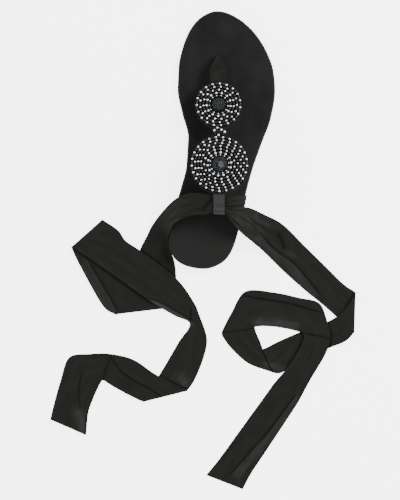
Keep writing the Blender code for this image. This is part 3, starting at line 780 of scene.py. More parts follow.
def bead_ring_tree(bright: Any, dark: Any) -> Any:
    """Build the tree of a ring of beads on a thread, bright and dark by turns.

    Args:
        bright: Finish of the bright beads.
        dark: Finish of the dark ones.

    Returns:
        The geometry tree.
    """
    nodes, given, out = open_group(
        "bead_ring",
        "GeometryNodeTree",
        {
            "Pairs": ("Int", 19),
            "Radius": ("Float", 20 * MM),
            "Turn": ("Float", 0.0),
            "Bright Size": ("Float", 2.8 * MM),
            "Dark Size": ("Float", 2.4 * MM),
            "Dark Stretch": ("Float", 1.2),
            "Lift": ("Float", 1.4 * MM),
            "Seed": ("Int", 1),
        },
        {"Geometry": "Geometry"},
    )
    count = nodes.times(given["Pairs"], 2.0)
    circle = nodes.add("GeometryNodeMeshCircle", {"Vertices": count, "Radius": given["Radius"]})
    seat = {"Translation": nodes.vector(z=given["Lift"]), "Rotation": nodes.vector(z=given["Turn"])}
    thread = nodes.add("GeometryNodeTransform", {"Geometry": circle.outputs[0], **seat}).outputs[0]
    index = nodes.add("GeometryNodeInputIndex").outputs[0]
    odd = nodes.sum(index, 2.0, "MODULO")
    way = nodes.sum(nodes.times(index, 2 * math.pi), count, "DIVIDE")
    tilt = nodes.random((-0.2, -0.2, -0.12), (0.2, 0.2, 0.12), given["Seed"])
    spin = nodes.vector(z=nodes.sum(way, given["Turn"]))
    facing = nodes.add("ShaderNodeVectorMath", {0: spin, 1: tilt}).outputs[0]
    size = nodes.random(*BEAD_SPREAD, given["Seed"])
    joined = nodes.add("GeometryNodeJoinGeometry")
    for wanted, bead, material in (
        (0.0, bead_shape(nodes, given["Bright Size"]), bright),
        (1.0, bead_shape(nodes, given["Dark Size"], given["Dark Stretch"], 8), dark),
    ):
        turns = {0: odd, 1: wanted, "Epsilon": 0.5}
        chosen = nodes.add("FunctionNodeCompare", turns, operation="EQUAL", data_type="FLOAT").outputs[0]
        beads = strewn(nodes, thread, bead, material, Selection=chosen, Rotation=facing, Scale=size)
        nodes.feed(joined.inputs[0], beads)
    nodes.feed(out.inputs[0], joined.outputs[0])
    return nodes.tree


def bead_spots_tree(material: Any) -> Any:
    """Build the tree of one bead at each given point.

    Args:
        material: The beads' finish.

    Returns:
        The geometry tree.
    """
    nodes, given, out = open_group(
        "bead_spots",
        "GeometryNodeTree",
        {"Geometry": ("Geometry", None), "Bead Size": ("Float", 2.7 * MM), "Seed": ("Int", 5)},
        {"Geometry": "Geometry"},
    )
    tilt = nodes.random((-0.3, -0.3, -3.0), (0.3, 0.3, 3.0), given["Seed"])
    size = nodes.random(*BEAD_SPREAD, given["Seed"])
    bead = bead_shape(nodes, given["Bead Size"])
    nodes.feed(out.inputs[0], strewn(nodes, given["Geometry"], bead, material, Rotation=tilt, Scale=size))
    return nodes.tree


def seed_dome_tree(material: Any) -> Any:
    """Build the tree of small beads that cover a dome from its top outwards in a sunflower's order.

    Args:
        material: The beads' finish.

    Returns:
        The geometry tree.
    """
    nodes, given, out = open_group(
        "seed_dome",
        "GeometryNodeTree",
        {
            "Count": ("Int", 60),
            "Radius": ("Float", 7 * MM),
            "Height": ("Float", 3 * MM),
            "Bead Size": ("Float", 1.7 * MM),
            "Hollow": ("Float", 0.0),
            "Seed": ("Int", 3),
        },
        {"Geometry": "Geometry"},
    )
    points = nodes.add("GeometryNodePoints", {"Count": given["Count"]})
    index = nodes.add("GeometryNodeInputIndex").outputs[0]
    share = nodes.sum(nodes.sum(index, 0.5), given["Count"], "DIVIDE")
    kept = nodes.sum(nodes.times(share, nodes.sum(1.0, given["Hollow"], "SUBTRACT")), given["Hollow"])
    reach = nodes.times(nodes.sum(kept, 0.5, "POWER"), given["Radius"])
    rise = nodes.times(nodes.sum(nodes.sum(1.0, kept, "SUBTRACT"), 0.5, "POWER"), given["Height"])
    golden = nodes.times(index, GOLDEN_TURN)
    x, y = (nodes.times(nodes.sum(golden, 0.0, wave), reach) for wave in ("COSINE", "SINE"))
    dome = {"Geometry": points.outputs[0], "Position": nodes.vector(x, y, rise)}
    placed = nodes.add("GeometryNodeSetPosition", dome).outputs[0]
    size = nodes.random(0.8, 1.12, given["Seed"])
    bead = bead_shape(nodes, given["Bead Size"], segments=8)
    nodes.feed(out.inputs[0], strewn(nodes, placed, bead, material, Scale=size))
    return nodes.tree


# The sole


@dataclass(frozen=True)
class Sole:
    """Plan, heights and looks of the sole."""

    length: float = 250 * MM
    ball_width: float = 95 * MM
    heel_rise: float = 8.0 * MM
    toe_spring: float = 7.0 * MM
    outsole: float = 3.5 * MM
    insole: float = 4.0 * MM
    step: float = 1.0 * MM
    dish: float = 1.2 * MM
    arch_raise: float = 2.5 * MM
    arch_at: float = 0.42
    arch_reach: float = 0.12
    gap: float = 0.3 * MM
    bevel: float = 0.6 * MM
    groove: float = 0.25 * MM
    lip: float = 0.3 * MM
    dents: float = 0.12 * MM
    dent_size: float = 34 * MM
    heel_length: float = 62 * MM
    heel_inset: float = 1.6 * MM
    heel_hollow: float = 5.0 * MM
    top_piece: float = 2.6 * MM
    # Share of the length from the heel's back, then the inner and outer edge as shares of the ball width.
    plan: Table = (
        (0.000, -0.135, -0.135), (0.010, -0.312, -0.012), (0.038, -0.424, 0.098), (0.084, -0.478, 0.169),
        (0.146, -0.490, 0.212), (0.222, -0.452, 0.242), (0.309, -0.395, 0.273), (0.402, -0.354, 0.324),
        (0.500, -0.355, 0.397), (0.598, -0.433, 0.473), (0.691, -0.494, 0.500), (0.778, -0.498, 0.472),
        (0.854, -0.467, 0.389), (0.916, -0.411, 0.274), (0.962, -0.330, 0.138), (0.990, -0.229, 0.000),
        (1.000, -0.128, -0.128),
    )
    # Share of the length, then the underside's height as shares of the heel rise and of the toe spring.
    rise: Table = (
        (0.00, 1.00, 0.00), (0.25, 1.00, 0.00), (0.33, 0.90, 0.00), (0.41, 0.55, 0.00), (0.48, 0.20, 0.00),
        (0.54, 0.03, 0.00), (0.58, 0.00, 0.00), (0.80, 0.00, 0.00), (0.88, 0.00, 0.17), (0.95, 0.00, 0.56),
        (1.00, 0.00, 1.00),
    )
    # Line pressed into the suede inside the rolled edge: distance from the edge and depth in millimetres.
    pressed: Table = ((0.5, 0.0), (0.8, 0.14), (1.0, 0.18), (1.2, 0.14), (1.5, 0.0))

    def share(self, y: Any) -> np.ndarray:
        """Places along the shoe as shares of its length from the heel's back."""
        return np.clip(np.asarray(y, float) / self.length + 0.5, 0.0, 1.0)

    def edges(self, y: Any) -> tuple[np.ndarray, np.ndarray]:
        """Find the sole's edges.

        Args:
            y: Places along the shoe.

        Returns:
            The inner and the outer edge at each place.
        """
        table = np.array(self.plan)
        spread, at = np.arccos(1 - 2 * table[:, 0]), np.arccos(1 - 2 * self.share(y))
        inner, outer = (flowing(spread, table[:, k], at) * self.ball_width for k in (1, 2))
        middle = (table[:, 1].min() + table[:, 2].max()) / 2 * self.ball_width
        return inner - middle, outer - middle

    def top(self, y: Any) -> np.ndarray:
        """Find the outsole's upper face.

        Args:
            y: Places along the shoe.

        Returns:
            The height at each place.
        """
        table = np.array(self.rise)
        heel, toe = (flowing(table[:, 0], table[:, k], self.share(y)) for k in (1, 2))
        return heel * self.heel_rise + toe * self.toe_spring + self.outsole

    def footbed(self, x: Any, y: Any) -> np.ndarray:
        """Find the insole's upper face.

        Args:
            x: Places across the shoe.
            y: Places along it.

        Returns:
            The height at each place.
        """
        inner, outer = self.edges(y)
        across = (2 * np.asarray(x) - inner - outer) / np.maximum(outer - inner, 1 * MM)
        dish = self.dish * (1 - np.minimum(across**2, 1.0))
        arch = np.exp(-(((self.share(y) - self.arch_at) / self.arch_reach) ** 2))
        arch *= np.maximum(-across, 0.0) ** 2
        return self.top(y) + self.gap + self.insole - dish + self.arch_raise * arch

    def outline(self, inset: float, stations: int = 150) -> np.ndarray:
        """Draw the sole's outline.

        Args:
            inset: Distance from the sole's edge.
            stations: Steps from the heel to the toe.

        Returns:
            One loop of plan points.
        """
        y = -np.cos(np.pi * np.arange(stations + 1) / stations) * self.length / 2
        inner, outer = self.edges(y)
        ring = np.vstack([np.column_stack([inner, y]), np.column_stack([outer, y])[-2:0:-1]])
        return drawn_in(ring, np.roll(ring, -1, axis=0) - np.roll(ring, 1, axis=0), inset)

    def level(self, inset: float, height: Callable, inwards: float = 1.0) -> np.ndarray:
        """A loop of the outline at some height.

        Args:
            inset: Distance from the sole's edge.
            height: Height as a function of x and y.
            inwards: Scale of the loop about the sole's middle line, down to 0.

        Returns:
            The loop's points.
        """
        loop = self.outline(inset)
        across = np.roll(loop[::-1], 1, axis=0)
        reach = self.length / 2 - 0.38 * self.ball_width
        y = np.clip((loop + across)[:, 1] / 2, -reach, reach)
        inner, outer = self.edges(y)
        middle = np.column_stack([(inner + outer) / 2, y])
        plan = middle + (loop - middle) * inwards
        return np.column_stack([plan, height(plan[:, 0], plan[:, 1])])

    def ring(self, inset: float, drop: float, inwards: float = 1.0) -> np.ndarray:
        """A loop of the insole's surface, drop below the footbed."""
        return self.level(inset, lambda x, y: self.footbed(x, y) - drop, inwards)

    def heel_level(self, inset: float, height: float, inwards: float = 1.0) -> np.ndarray:
        """A flat loop of the heel block, hollowed at its breast.

        Args:
            inset: Distance from the sole's edge.
            height: Height of the loop.
            inwards: Scale of the loop about its middle, down to 0.

        Returns:
            The loop's points.
        """
        y = (1 - np.cos(np.linspace(0, math.pi / 2, 61))) * self.heel_length - self.length / 2
        inner, outer = self.edges(y)
        path = np.vstack([np.column_stack([outer, y])[::-1], np.column_stack([inner, y])[1:]])
        ahead = np.gradient(path, axis=0)
        ahead[0], ahead[-1] = (0, -1), (0, 1)
        path = drawn_in(path, ahead, inset)
        share = np.linspace(0, 1, 14)[1:-1, None]
        breast = path[-1] + (path[0] - path[-1]) * share - np.sin(math.pi * share) * (0, self.heel_hollow)
        loop = np.vstack([path, breast])
        middle = loop.mean(axis=0)
        return np.column_stack([middle + (loop - middle) * inwards, np.full(len(loop), height)])

    def build_footbed(self, suede: Any) -> None:
        """Make the footbed: flat underneath, with a rolled edge, a pressed line and a soft dish.

        Args:
            suede: Its finish.
        """
        rings = [self.ring(self.step + self.lip, 0.0, share) for share in (0.0, 0.5, 1.0)]
        rings.append(self.ring(self.step, 0.0))
        for level in rings:
            level[:, 2] = self.top(level[:, 1]) + self.gap
        rings[-1] += (0, 0, self.lip)
        roll = self.insole / 3
        for angle in math.pi / 2 * np.arange(7) / 6:
            rings.append(self.ring(self.step + roll * (1 - math.cos(angle)), roll * (1 - math.sin(angle))))
        rings += [self.ring(self.step + roll + lay * MM, dip * MM) for lay, dip in self.pressed]
        for k in range(16):
            level = self.ring(self.step + roll + self.pressed[-1][0] * MM, 0.0, 1 - (k + 1) / 16)
            dents = soft_noise(level[:, 0], level[:, 1], self.dent_size, 2.0) * self.dents
            level[:, 2] += dents * eased(0.0, 3.0, k)
            rings.append(level)
        settle(rings_solid("footbed", rings, suede), "insole")

    def build_outsole(self, rubber: Any) -> None:
        """Make the rubber sheet with rounded lower edges and a fine groove around its side.

        Args:
            rubber: Its finish.
        """
        half, turn = self.outsole / 2, np.linspace(0, math.pi / 2, 5)
        low, high = self.bevel, self.bevel / 2
        steps = [(low, 0.0, 0.0), (low, 0.0, 0.5)]
        steps += [(low * (1 - math.sin(a)), low * (1 - math.cos(a)), 1.0) for a in turn]
        grooved = ((0, -self.groove), (self.groove, 0), (0, self.groove))
        steps += [(dip, half + lift, 1.0) for dip, lift in grooved]
        steps += [(high * (1 - math.cos(a)), self.outsole - high * (1 - math.sin(a)), 1.0) for a in turn]
        steps += [(high, self.outsole, 0.5), (high, self.outsole, 0.0)]
        rings = [
            self.level(inset, lambda x, y, up=up: self.top(y) - self.outsole + up, inwards)
            for inset, up, inwards in steps
        ]
        settle(rings_solid("sole_sheet", rings, rubber), "outsole")

    def build_heel(self, rubber: Any) -> None:
        """Make the heel block with its thin top piece, which stands on the ground.

        Args:
            rubber: Its finish.
        """
        side, round_off, slot, bulge = self.heel_inset, self.bevel, self.groove, 0.1 * MM
        high = self.heel_rise - self.gap
        steps = (
            (side + round_off, 0.0, 0.0), (side + round_off, 0.0, 1.0),
            (side + round_off * 0.3, round_off * 0.3, 1.0), (side, round_off, 1.0),
            (side - bulge, self.top_piece - slot, 1.0), (side + slot, self.top_piece, 1.0),
            (side - bulge * 1.5, self.top_piece + slot, 1.0), (side - round_off, high, 1.0),
            (side - round_off, high, 0.0),
        )
        rings = [self.heel_level(*step) for step in steps]
        settle(rings_solid("heel_block", rings, rubber), "heel_lift")

    def build(self, suede: Any, rubber: Any) -> None:
        """Make the footbed, the outsole and the heel.

        Args:
            suede: Finish of the footbed.
            rubber: Finish of the outsole and the heel.
        """
        self.build_footbed(suede)
        self.build_outsole(rubber)
        self.build_heel(rubber)


SOLE = Sole()


# The T-strap and its medallions


def lathe(name: str, profile: list[tuple[float, float]], place: Matrix, material: Any, steps: int = 64) -> Any:
    """Make a solid turned around its own Z axis.

    Args:
        name: The piece's name.
        profile: Radius and height of each point, from the axis round to the axis.
        place: Where the solid's own origin and axes go.
        material: Its finish.
        steps: Faces around it.

    Returns:
        The new object.
    """
    angles = 2 * np.pi * np.arange(steps) / steps
    rings = [np.column_stack([r * np.cos(angles), r * np.sin(angles), np.full(steps, z)]) for r, z in profile]
    piece = rings_solid(name, rings, material)
    piece.data.transform(place)
    return piece


def join(parts: list, name: str) -> Any:
    """Join pieces into one, with as many finishes as they had.

    Args:
        parts: The pieces, which are used up.
        name: Name of the joined piece.

    Returns:
        The joined piece.
    """
    work = bmesh.new()
    materials: list = []
    for part in parts:
        start = len(work.faces)
        work.from_mesh(part.data)
        work.faces.ensure_lookup_table()
        for face in work.faces[start:]:
            material = part.data.materials[face.material_index]
            if material not in materials:
                materials.append(material)
            face.material_index = materials.index(material)
    mesh = bpy.data.meshes.new(name)
    work.to_mesh(mesh)
    work.free()
    for material in materials:
        mesh.materials.append(material)
    for part in parts:
        bpy.data.objects.remove(part)
    return new_object(name, mesh)


class Ring(NamedTuple):
    """A ring of beads in millimetres: its bright beads, radius, turn clockwise from the toe, their size."""

    pairs: int
    radius: float
    turn_deg: float
    size: float


@dataclass(frozen=True)
class Medallion:
    """A beaded disc: rings of beads on a padded backing around a domed centre."""

    name: str
    field: float
    button: float
    rings: tuple[Ring, ...]
    seeds: int
    stone: float = 0.0
    backing: float = 0.45 * MM
    pad_rise: float = 0.9 * MM
    cushion_rise: float = 2.6 * MM
    seed_rise: float = 2.4 * MM
    seed_size: float = 1.75 * MM
    dark_share: float = 0.82
    seat_share: float = 0.44

    def build(self, seat: Matrix, trees: dict[str, Any], felt: Any) -> None:
        """Make the backing, the rings and the centre on the strap.

        Args:
            seat: Place and axes of the strap's upper face at the disc's middle.
            trees: Geometry trees of the rings and of the dome.
            felt: Finish of the backing.
        """
        parts = [self.pad(seat, felt)]
        for k, ring in enumerate(self.rings):
            radius, size = ring.radius * MM, ring.size * MM
            pitch = 2 * math.pi * radius / ring.pairs
            dark = min(self.dark_share * size, pitch - size)
            values = {
                "Pairs": ring.pairs,
                "Radius": radius,
                "Turn": math.radians(90 - ring.turn_deg),
                "Bright Size": size,
                "Dark Size": dark,
                "Dark Stretch": max((pitch - size) / dark * 0.92, 0.7),
                "Lift": self.backing + size * self.seat_share,
                "Seed": k + len(self.rings),
            }
            parts.append(run_tree(f"{self.name}_ring_{k}", trees["ring"], values, seat))
        settle(join(parts, f"beads_of_{self.name}"), f"beads_{self.name}")
        values = {
            "Count": self.seeds,
            "Radius": self.button - 0.8 * MM,
            "Height": self.seed_rise,
            "Bead Size": self.seed_size,
            "Hollow": (self.stone / self.button) ** 2,
        }
        raised = seat @ Matrix.Translation((0, 0, self.pad_rise))
        dome = run_tree(f"{self.name}_seeds", trees["dome"], values, raised)
        centre = join([self.cushion(seat, felt), dome], f"centre_of_{self.name}")
        settle(centre, f"button_{self.name}")

    def pad(self, seat: Matrix, felt: Any) -> Any:
        """Make the thin felt under the beads, with a rounded edge.

        Args:
            seat: Place and axes of the disc's middle.
            felt: Its finish.

        Returns:
            The new object.
        """
        low, rim = 0.02 * MM, self.field
        profile = [(0.0, self.backing), (rim - 0.4 * MM, self.backing), (rim, self.backing * 0.4)]
        return lathe(f"{self.name}_pad", profile + [(rim - 0.1 * MM, low), (0.0, low)], seat, felt)

    def cushion(self, seat: Matrix, felt: Any) -> Any:
        """Make the dome under the small beads of the centre.

        Args:
            seat: Place and axes of the disc's middle.
            felt: Its finish.

        Returns:
            The new object.
        """
        reach, low = self.button - 0.5 * MM, 0.5 * MM
        arc = [
            (reach * math.sin(a), self.pad_rise + self.cushion_rise * math.cos(a))
            for a in np.linspace(0, math.pi / 2, 9)
        ]
        return lathe(f"{self.name}_cushion", arc + [(reach, low), (0.0, low)], seat, felt)


@dataclass(frozen=True)
class Strap:
    """The T-strap: a pointed tab that climbs from the toe post, two discs and the bridge between them."""

    wall: float = 1.8 * MM
    toe_width: float = 3.8 * MM
    tab_width: float = 15.6 * MM
    bridge_width: float = 12.5 * MM
    tab: float = 32.5 * MM
    bridge: float = 6.6 * MM
    front: float = 23.5 * MM
    back: float = 28.9 * MM
    toe_lift: float = 0.8 * MM
    gap: float = 0.3 * MM
    ridge: float = 0.25 * MM
    ridge_width: float = 0.9 * MM
    thin_edge: float = 0.45
    # Share of the ball width and of the length where the post stands, from the sole's middle.
    post: tuple[float, float] = (-0.108, 0.324)
    # Beads of the bridge in millimetres from its middle.
    bright_spots: Table = ((-1.7, 3.4), (-4.5, 1.0), (2.1, 1.3), (5.2, -0.7), (-0.6, -3.7))
    dark_spots: Table = (
        (-3.5, 2.9), (0.4, 3.0), (-2.0, 0.6), (0.1, 0.2), (3.8, 0.7), (-3.6, -1.6), (-1.4, -2.0), (1.6, -1.6),
        (3.8, -2.5),
    )
    # Length as a share of the tab, slope and heading in degrees.
    bends: Table = ((0.00, 76, 4), (0.16, 74, 4), (0.34, 33, 4), (1.00, 15, 5))
    # Slope and heading in degrees at the front disc's rear edge and from the bridge's rear end on.
    front_bend: tuple[float, float] = (15, 5)
    back_bend: tuple[float, float] = (11, 4)
    # Length and width as shares of the tab's, and how far its edges fold down.
    outline: Table = (
        (0.00, 0.25, 0.10), (0.16, 0.27, 0.20), (0.26, 0.32, 0.30), (0.34, 0.43, 0.32), (0.42, 0.60, 0.28),
        (0.52, 0.80, 0.20), (0.62, 0.93, 0.12), (0.76, 1.00, 0.05), (1.00, 1.00, 0.00),
    )

    @property
    def front_at(self) -> float:
        """Length of the spine at the front disc's middle."""
        return self.tab + self.front

    @property
    def bridge_at(self) -> float:
        """Length of the spine where the bridge starts."""
        return self.tab + 2 * self.front

    @property
    def back_at(self) -> float:
        """Length of the spine at the back disc's middle."""
        return self.bridge_at + self.bridge + self.back

    @property
    def end_at(self) -> float:
        """Length of the spine at the back disc's rear edge."""
        return self.back_at + self.back

    @property
    def discs(self) -> tuple[tuple[float, float], tuple[float, float]]:
        """Length of the spine at each disc's middle, and the disc's radius."""
        return (self.front_at, self.front), (self.back_at, self.back)

    def spine(self, at: np.ndarray) -> tuple[np.ndarray, np.ndarray, np.ndarray]:
        """Follow the strap's middle line.

        Args:
            at: Lengths from the toe post.

        Returns:
            Points, forward directions and sideways directions at those lengths.
        """
        stops = [(share * self.tab, slope, heading) for share, slope, heading in self.bends]
        stops += [(self.bridge_at, *self.front_bend), (self.bridge_at + self.bridge, *self.back_bend)]
        table = np.array([*stops, (self.end_at, *self.back_bend)])
        step = 0.5 * MM
        fine = np.arange(0, self.end_at + 2 * step, step)
        slope, heading = (np.radians(flowing(table[:, 0], table[:, k], fine)) for k in (1, 2))
        flat = np.cos(slope)
        ahead = np.column_stack([np.sin(heading) * flat, -np.cos(heading) * flat, np.sin(slope)])
        x, y = self.post[0] * SOLE.ball_width, self.post[1] * SOLE.length
        start = np.array([x, y, float(SOLE.footbed(x, y)) + self.toe_lift])
        points = start + np.vstack([[0, 0, 0], np.cumsum(ahead[:-1] * step, axis=0)])
        side = np.column_stack([np.cos(heading), np.sin(heading), np.zeros(len(fine))])
        lines = (points, ahead, side)
        return tuple(np.column_stack([np.interp(at, fine, v[:, k]) for k in range(3)]) for v in lines)

    def seat(self, at: float) -> Matrix:
        """Find the strap's upper face.

        Args:
            at: Length of the spine.

        Returns:
            Its place and axes there, with +Y towards the toe.
        """
        point, ahead, side = (Vector(v[0]) for v in self.spine(np.array([at])))
        up = side.cross(ahead * -1).normalized()
        turn = Matrix((side, ahead * -1, up)).transposed().to_4x4()
        return Matrix.Translation(point + up * (self.wall / 2 + 0.05 * MM)) @ turn

    def halves(self, at: np.ndarray) -> tuple[np.ndarray, np.ndarray]:
        """Find the strap's edges.

        Args:
            at: Lengths of the spine.

        Returns:
            Half width there, and how far the edges fold down as a share of it.
        """
        table = np.array(self.outline)
        width = table[:, 1] * self.tab_width / 2
        width[0], width[1] = self.toe_width / 2, self.toe_width / 2 * 1.1
        half = flowing(table[:, 0] * self.tab, width, at)
        neck = self.bridge_width / 2
        knots = ((self.tab, self.tab_width / 2), (self.front_at, neck), (self.back_at, neck), (self.end_at, 2.0 * MM))
        half = np.where(at < self.tab, half, flowing(*zip(*knots), at))
        for centre, radius in self.discs:
            half = np.maximum(half, np.sqrt(np.maximum(radius**2 - (at - centre) ** 2, 0)))
        drop = np.where(at < self.tab, flowing(table[:, 0] * self.tab, table[:, 2], at), 0.0)
        return half, drop

    def build(self, suede: Any, columns: int = 25) -> None:
        """Make the strap as one suede sheet with turned edges.

        Args:
            suede: Its finish.
            columns: Points across it.
        """
        at = [np.linspace(0, self.tab, 60, endpoint=False)]
        for centre, radius in self.discs:
            at.append(centre - radius * np.cos(np.pi * np.arange(57) / 56))
            at.append(centre + radius + self.bridge * np.array([0.25, 0.5, 0.75]))
        at = np.concatenate(at[:-1])
        point, ahead, side = self.spine(at)
        half, drop = self.halves(at)
        up = np.cross(ahead, side) * -1
        up /= np.linalg.norm(up, axis=1, keepdims=True)
        across = np.sin(np.linspace(-1, 1, columns) * math.pi / 2)
        fold = drop[:, None] * half[:, None] * across**2
        grid = point[:, None] + side[:, None] * (across * half[:, None])[..., None] - up[:, None] * fold[..., None]
        ridge = np.exp(-((across * half[:, None] / self.ridge_width) ** 2)) * (at < self.tab * 0.9)[:, None]
        grid += up[:, None] * (ridge * self.ridge)[..., None]
        wall = self.wall * (1 - self.thin_edge * np.abs(across) ** 14)
        settle(shell("t_strap", grid, wall, suede), "upper")

    def build_bridge(self, trees: dict[str, Any], suede: Any) -> None:
        """Make the short bead field on the bridge, and dress the toe post, whose solid stays in view.

        Args:
            trees: Geometry trees of bright and of dark beads at given points.
            suede: Finish of the post.
        """
        seat = self.seat(self.bridge_at + self.bridge / 2)
        parts = []
        for key, size, spots in (("bright", 2.75, self.bright_spots), ("dark", 2.4, self.dark_spots)):
            points = [(x * MM, y * MM, (0.4 + size * 0.42) * MM) for x, y in spots]
            parts.append(run_tree(f"bridge_{key}", trees[key], {"Bead Size": size * MM}, seat, points))
        settle(join(parts, "beads_of_bridge"), "beads_bridge")
        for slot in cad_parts["toe_post"].material_slots:
            slot.material = suede
        LOG.info("toe_post keeps its solid")


@dataclass(frozen=True)
class CutStone:
    """The oval cut stone in the middle of the back medallion."""

    place: tuple[float, float, float] = (1.2 * MM, -0.6 * MM, 3.3 * MM)
    turn_deg: float = 20.0
    stretch: float = 1.18
    facets: int = 12
    flat_under_deg: float = 8.0
    # Radius and height in millimetres from the axis round to the axis.
    profile: Table = ((0.0, 2.1), (1.5, 2.1), (2.6, 1.4), (3.1, 0.6), (3.0, -0.6), (0.0, -0.6))

    def build(self, seat: Matrix, glass: Any) -> None:
        """Make the stone.

        Args:
            seat: Place and axes of the disc's middle.
            glass: Its finish.
        """
        turn = Matrix.Rotation(math.radians(self.turn_deg), 4, "Z") @ Matrix.Diagonal((1.0, self.stretch, 1.0, 1.0))
        profile = [(radius * MM, height * MM) for radius, height in self.profile]
        piece = lathe("stone", profile, seat @ Matrix.Translation(self.place) @ turn, glass, self.facets)
        piece.data.set_sharp_from_angle(angle=math.radians(self.flat_under_deg))
        settle(piece, "gem")


STRAP = Strap()
FRONT = Medallion(
    "front",
    22.7 * MM,
    7.2 * MM,
    (
        Ring(19, 20.9, 4.3, 2.5),
        Ring(17, 17.8, 8.3, 2.45),
        Ring(15, 14.7, 2.9, 2.45),
        Ring(13, 11.6, -10.7, 2.8),
        Ring(13, 9.0, -10.7, 1.7),
    ),
    44,
)
BACK = Medallion(
    "back",
    28.1 * MM,
    8.0 * MM,
    (
        Ring(25, 26.5, -6.7, 2.5),
        Ring(23, 23.6, 9.7, 2.45),
        Ring(20, 20.7, -10.7, 2.45),
        Ring(17, 17.8, 3.2, 2.45),
        Ring(15, 14.7, 5.0, 2.45),
        Ring(14, 11.4, 6.1, 2.8),
        Ring(14, 9.1, 6.1, 1.6),
    ),
    52,
    3.4 * MM,
)


# The ribbon keeper


@dataclass(frozen=True)
class Keeper:
    """Ribbed ribbon loop behind the back disc."""

    width: float = 10.8 * MM
    length: float = 19.5 * MM
    room: float = 7.6 * MM
    wall: float = 1.0 * MM
    thin: float = 0.62
    tail: float = 7.0 * MM
    tail_slope_deg: float = 11.0
    ribs: int = 4
    rib_rise: float = 0.16 * MM
    heading_deg: float = 4.0
    dip: float = 0.6 * MM
    dip_at: float = -2.3 * MM
    dip_reach: float = 2.2 * MM

    @property
    def centre(self) -> np.ndarray:
        """Find the middle of the room inside the loop.

        Returns:
            Its place.
        """
        end = STRAP.spine(np.array([STRAP.end_at]))[0][0]
        drop = STRAP.wall / 2 + STRAP.gap + self.wall + self.room / 2
        return end - np.array([0, self.length / 2 + 0.5 * MM, drop])

    def path(self) -> np.ndarray:
        """Draw the loop's line from its upper tail round to its lower one.

        Returns:
            Places along the shoe and heights, from the loop's middle.
        """
        half = self.length / 2 - self.wall / 2
        room = self.room / 2 + self.wall / 2
        slope = math.tan(math.radians(self.tail_slope_deg))
        line = [(half + self.tail * share, room - self.tail * share * slope) for share in (1.0, 0.75, 0.5, 0.25)]
        line += [(half - room * 0.4, room), (0.0, room)]
        turn = np.pi / 2 + np.pi * np.arange(17) / 16
        line += [(-half + room + room * math.cos(a), room * math.sin(a)) for a in turn]
        line += [(0.0, -room), (half - room, -room)]
        turn = np.linspace(-np.pi / 2, 0, 9)[1:]
        line += [(half - room + room * math.cos(a), room * math.sin(a)) for a in turn]
        under = room - self.wall - STRAP.gap - self.tail * 0.1 * slope
        line += [(half, under - 0.8 * MM), (half + self.tail * 0.3, under - self.tail * 0.25 * slope)]
        knots = np.array(line)
        return through(knots, np.linspace(0, len(knots) - 1, 150))

    def build(self, ribbon: Any, columns: int = 41) -> None:
        """Make the loop with its lengthwise ribs and a dip on top, with painted sheen on the ribs, painted shade in
        the dip and a painted shadow on the end under the disc.

        Args:
            ribbon: Its finish.
            columns: Points across it.
        """
        path = self.path()
        away, up = path[:, :1], path[:, 1:]
        across = np.linspace(-1, 1, columns)
        x = self.centre[0] + np.tile(across * self.width / 2, (len(path), 1))
        sunk = np.exp(-(((away - self.dip_at) / self.dip_reach) ** 2)) * (up > 0)
        disc_shadow = eased(3.0 * MM, 7.0 * MM, away)
        turned = x - away * math.tan(math.radians(self.heading_deg))
        y, z = (np.tile(self.centre[k + 1] + path[:, k : k + 1], (1, columns)) for k in (0, 1))
        grid = np.dstack([turned, y, z - sunk * self.dip])
        rib = (0.5 + 0.5 * np.cos(across * math.pi * self.ribs)) * (1 - 0.45 * sunk)
        steps = np.linalg.norm(np.diff(path, axis=0), axis=1)
        marks = {
            # Painted sheen on the rib crests, painted shade in the dip and a painted shadow of the disc on the loop's
            # end.
            "rib": rib * 0.6 - 0.25 * sunk - 0.2 * disc_shadow,
            "across": x,
            "along": np.tile(np.concatenate([[0], np.cumsum(steps)])[:, None], (1, columns)),
        }
        wall = self.wall * self.thin + rib * self.rib_rise * eased(1.0, 0.93, np.abs(across))
        settle(shell("ribbon_keeper", grid, wall, ribbon, marks), "keeper")


KEEPER = Keeper()


# The sash


class Row(NamedTuple):
    """A row across a tie in millimetres from the keeper: front edge a, rear edge b, their hang, layer, and a fold."""

    ax: float
    ay: float
    bx: float
    by: float
    hang_a: float = 0.0
    hang_b: float = 0.0
    layer: float = 1
    fold: bool = False


class Crease(NamedTuple):
    """A line drawn on the rows of a tie from first to last, in millimetres from the keeper.

    Left of the line, as it runs, the cloth rises by lift and sinks back softly. dark is the width of its seam of
    painted shade, standing for shade in the creases and for shadows where a layer or an edge lies over the cloth.
    glow lightens a strip beside it, strip wide, to the left if it is positive: a lone layer of sheer cloth in some
    places, painted sheen in others; without painted shade both sides glow.
    """

    first: int
    last: int
    points: tuple[tuple[float, float], ...]
    lift: float = 0.4
    dark: float = 0.8
    strip: float = 0.0
    glow: float = 0.0


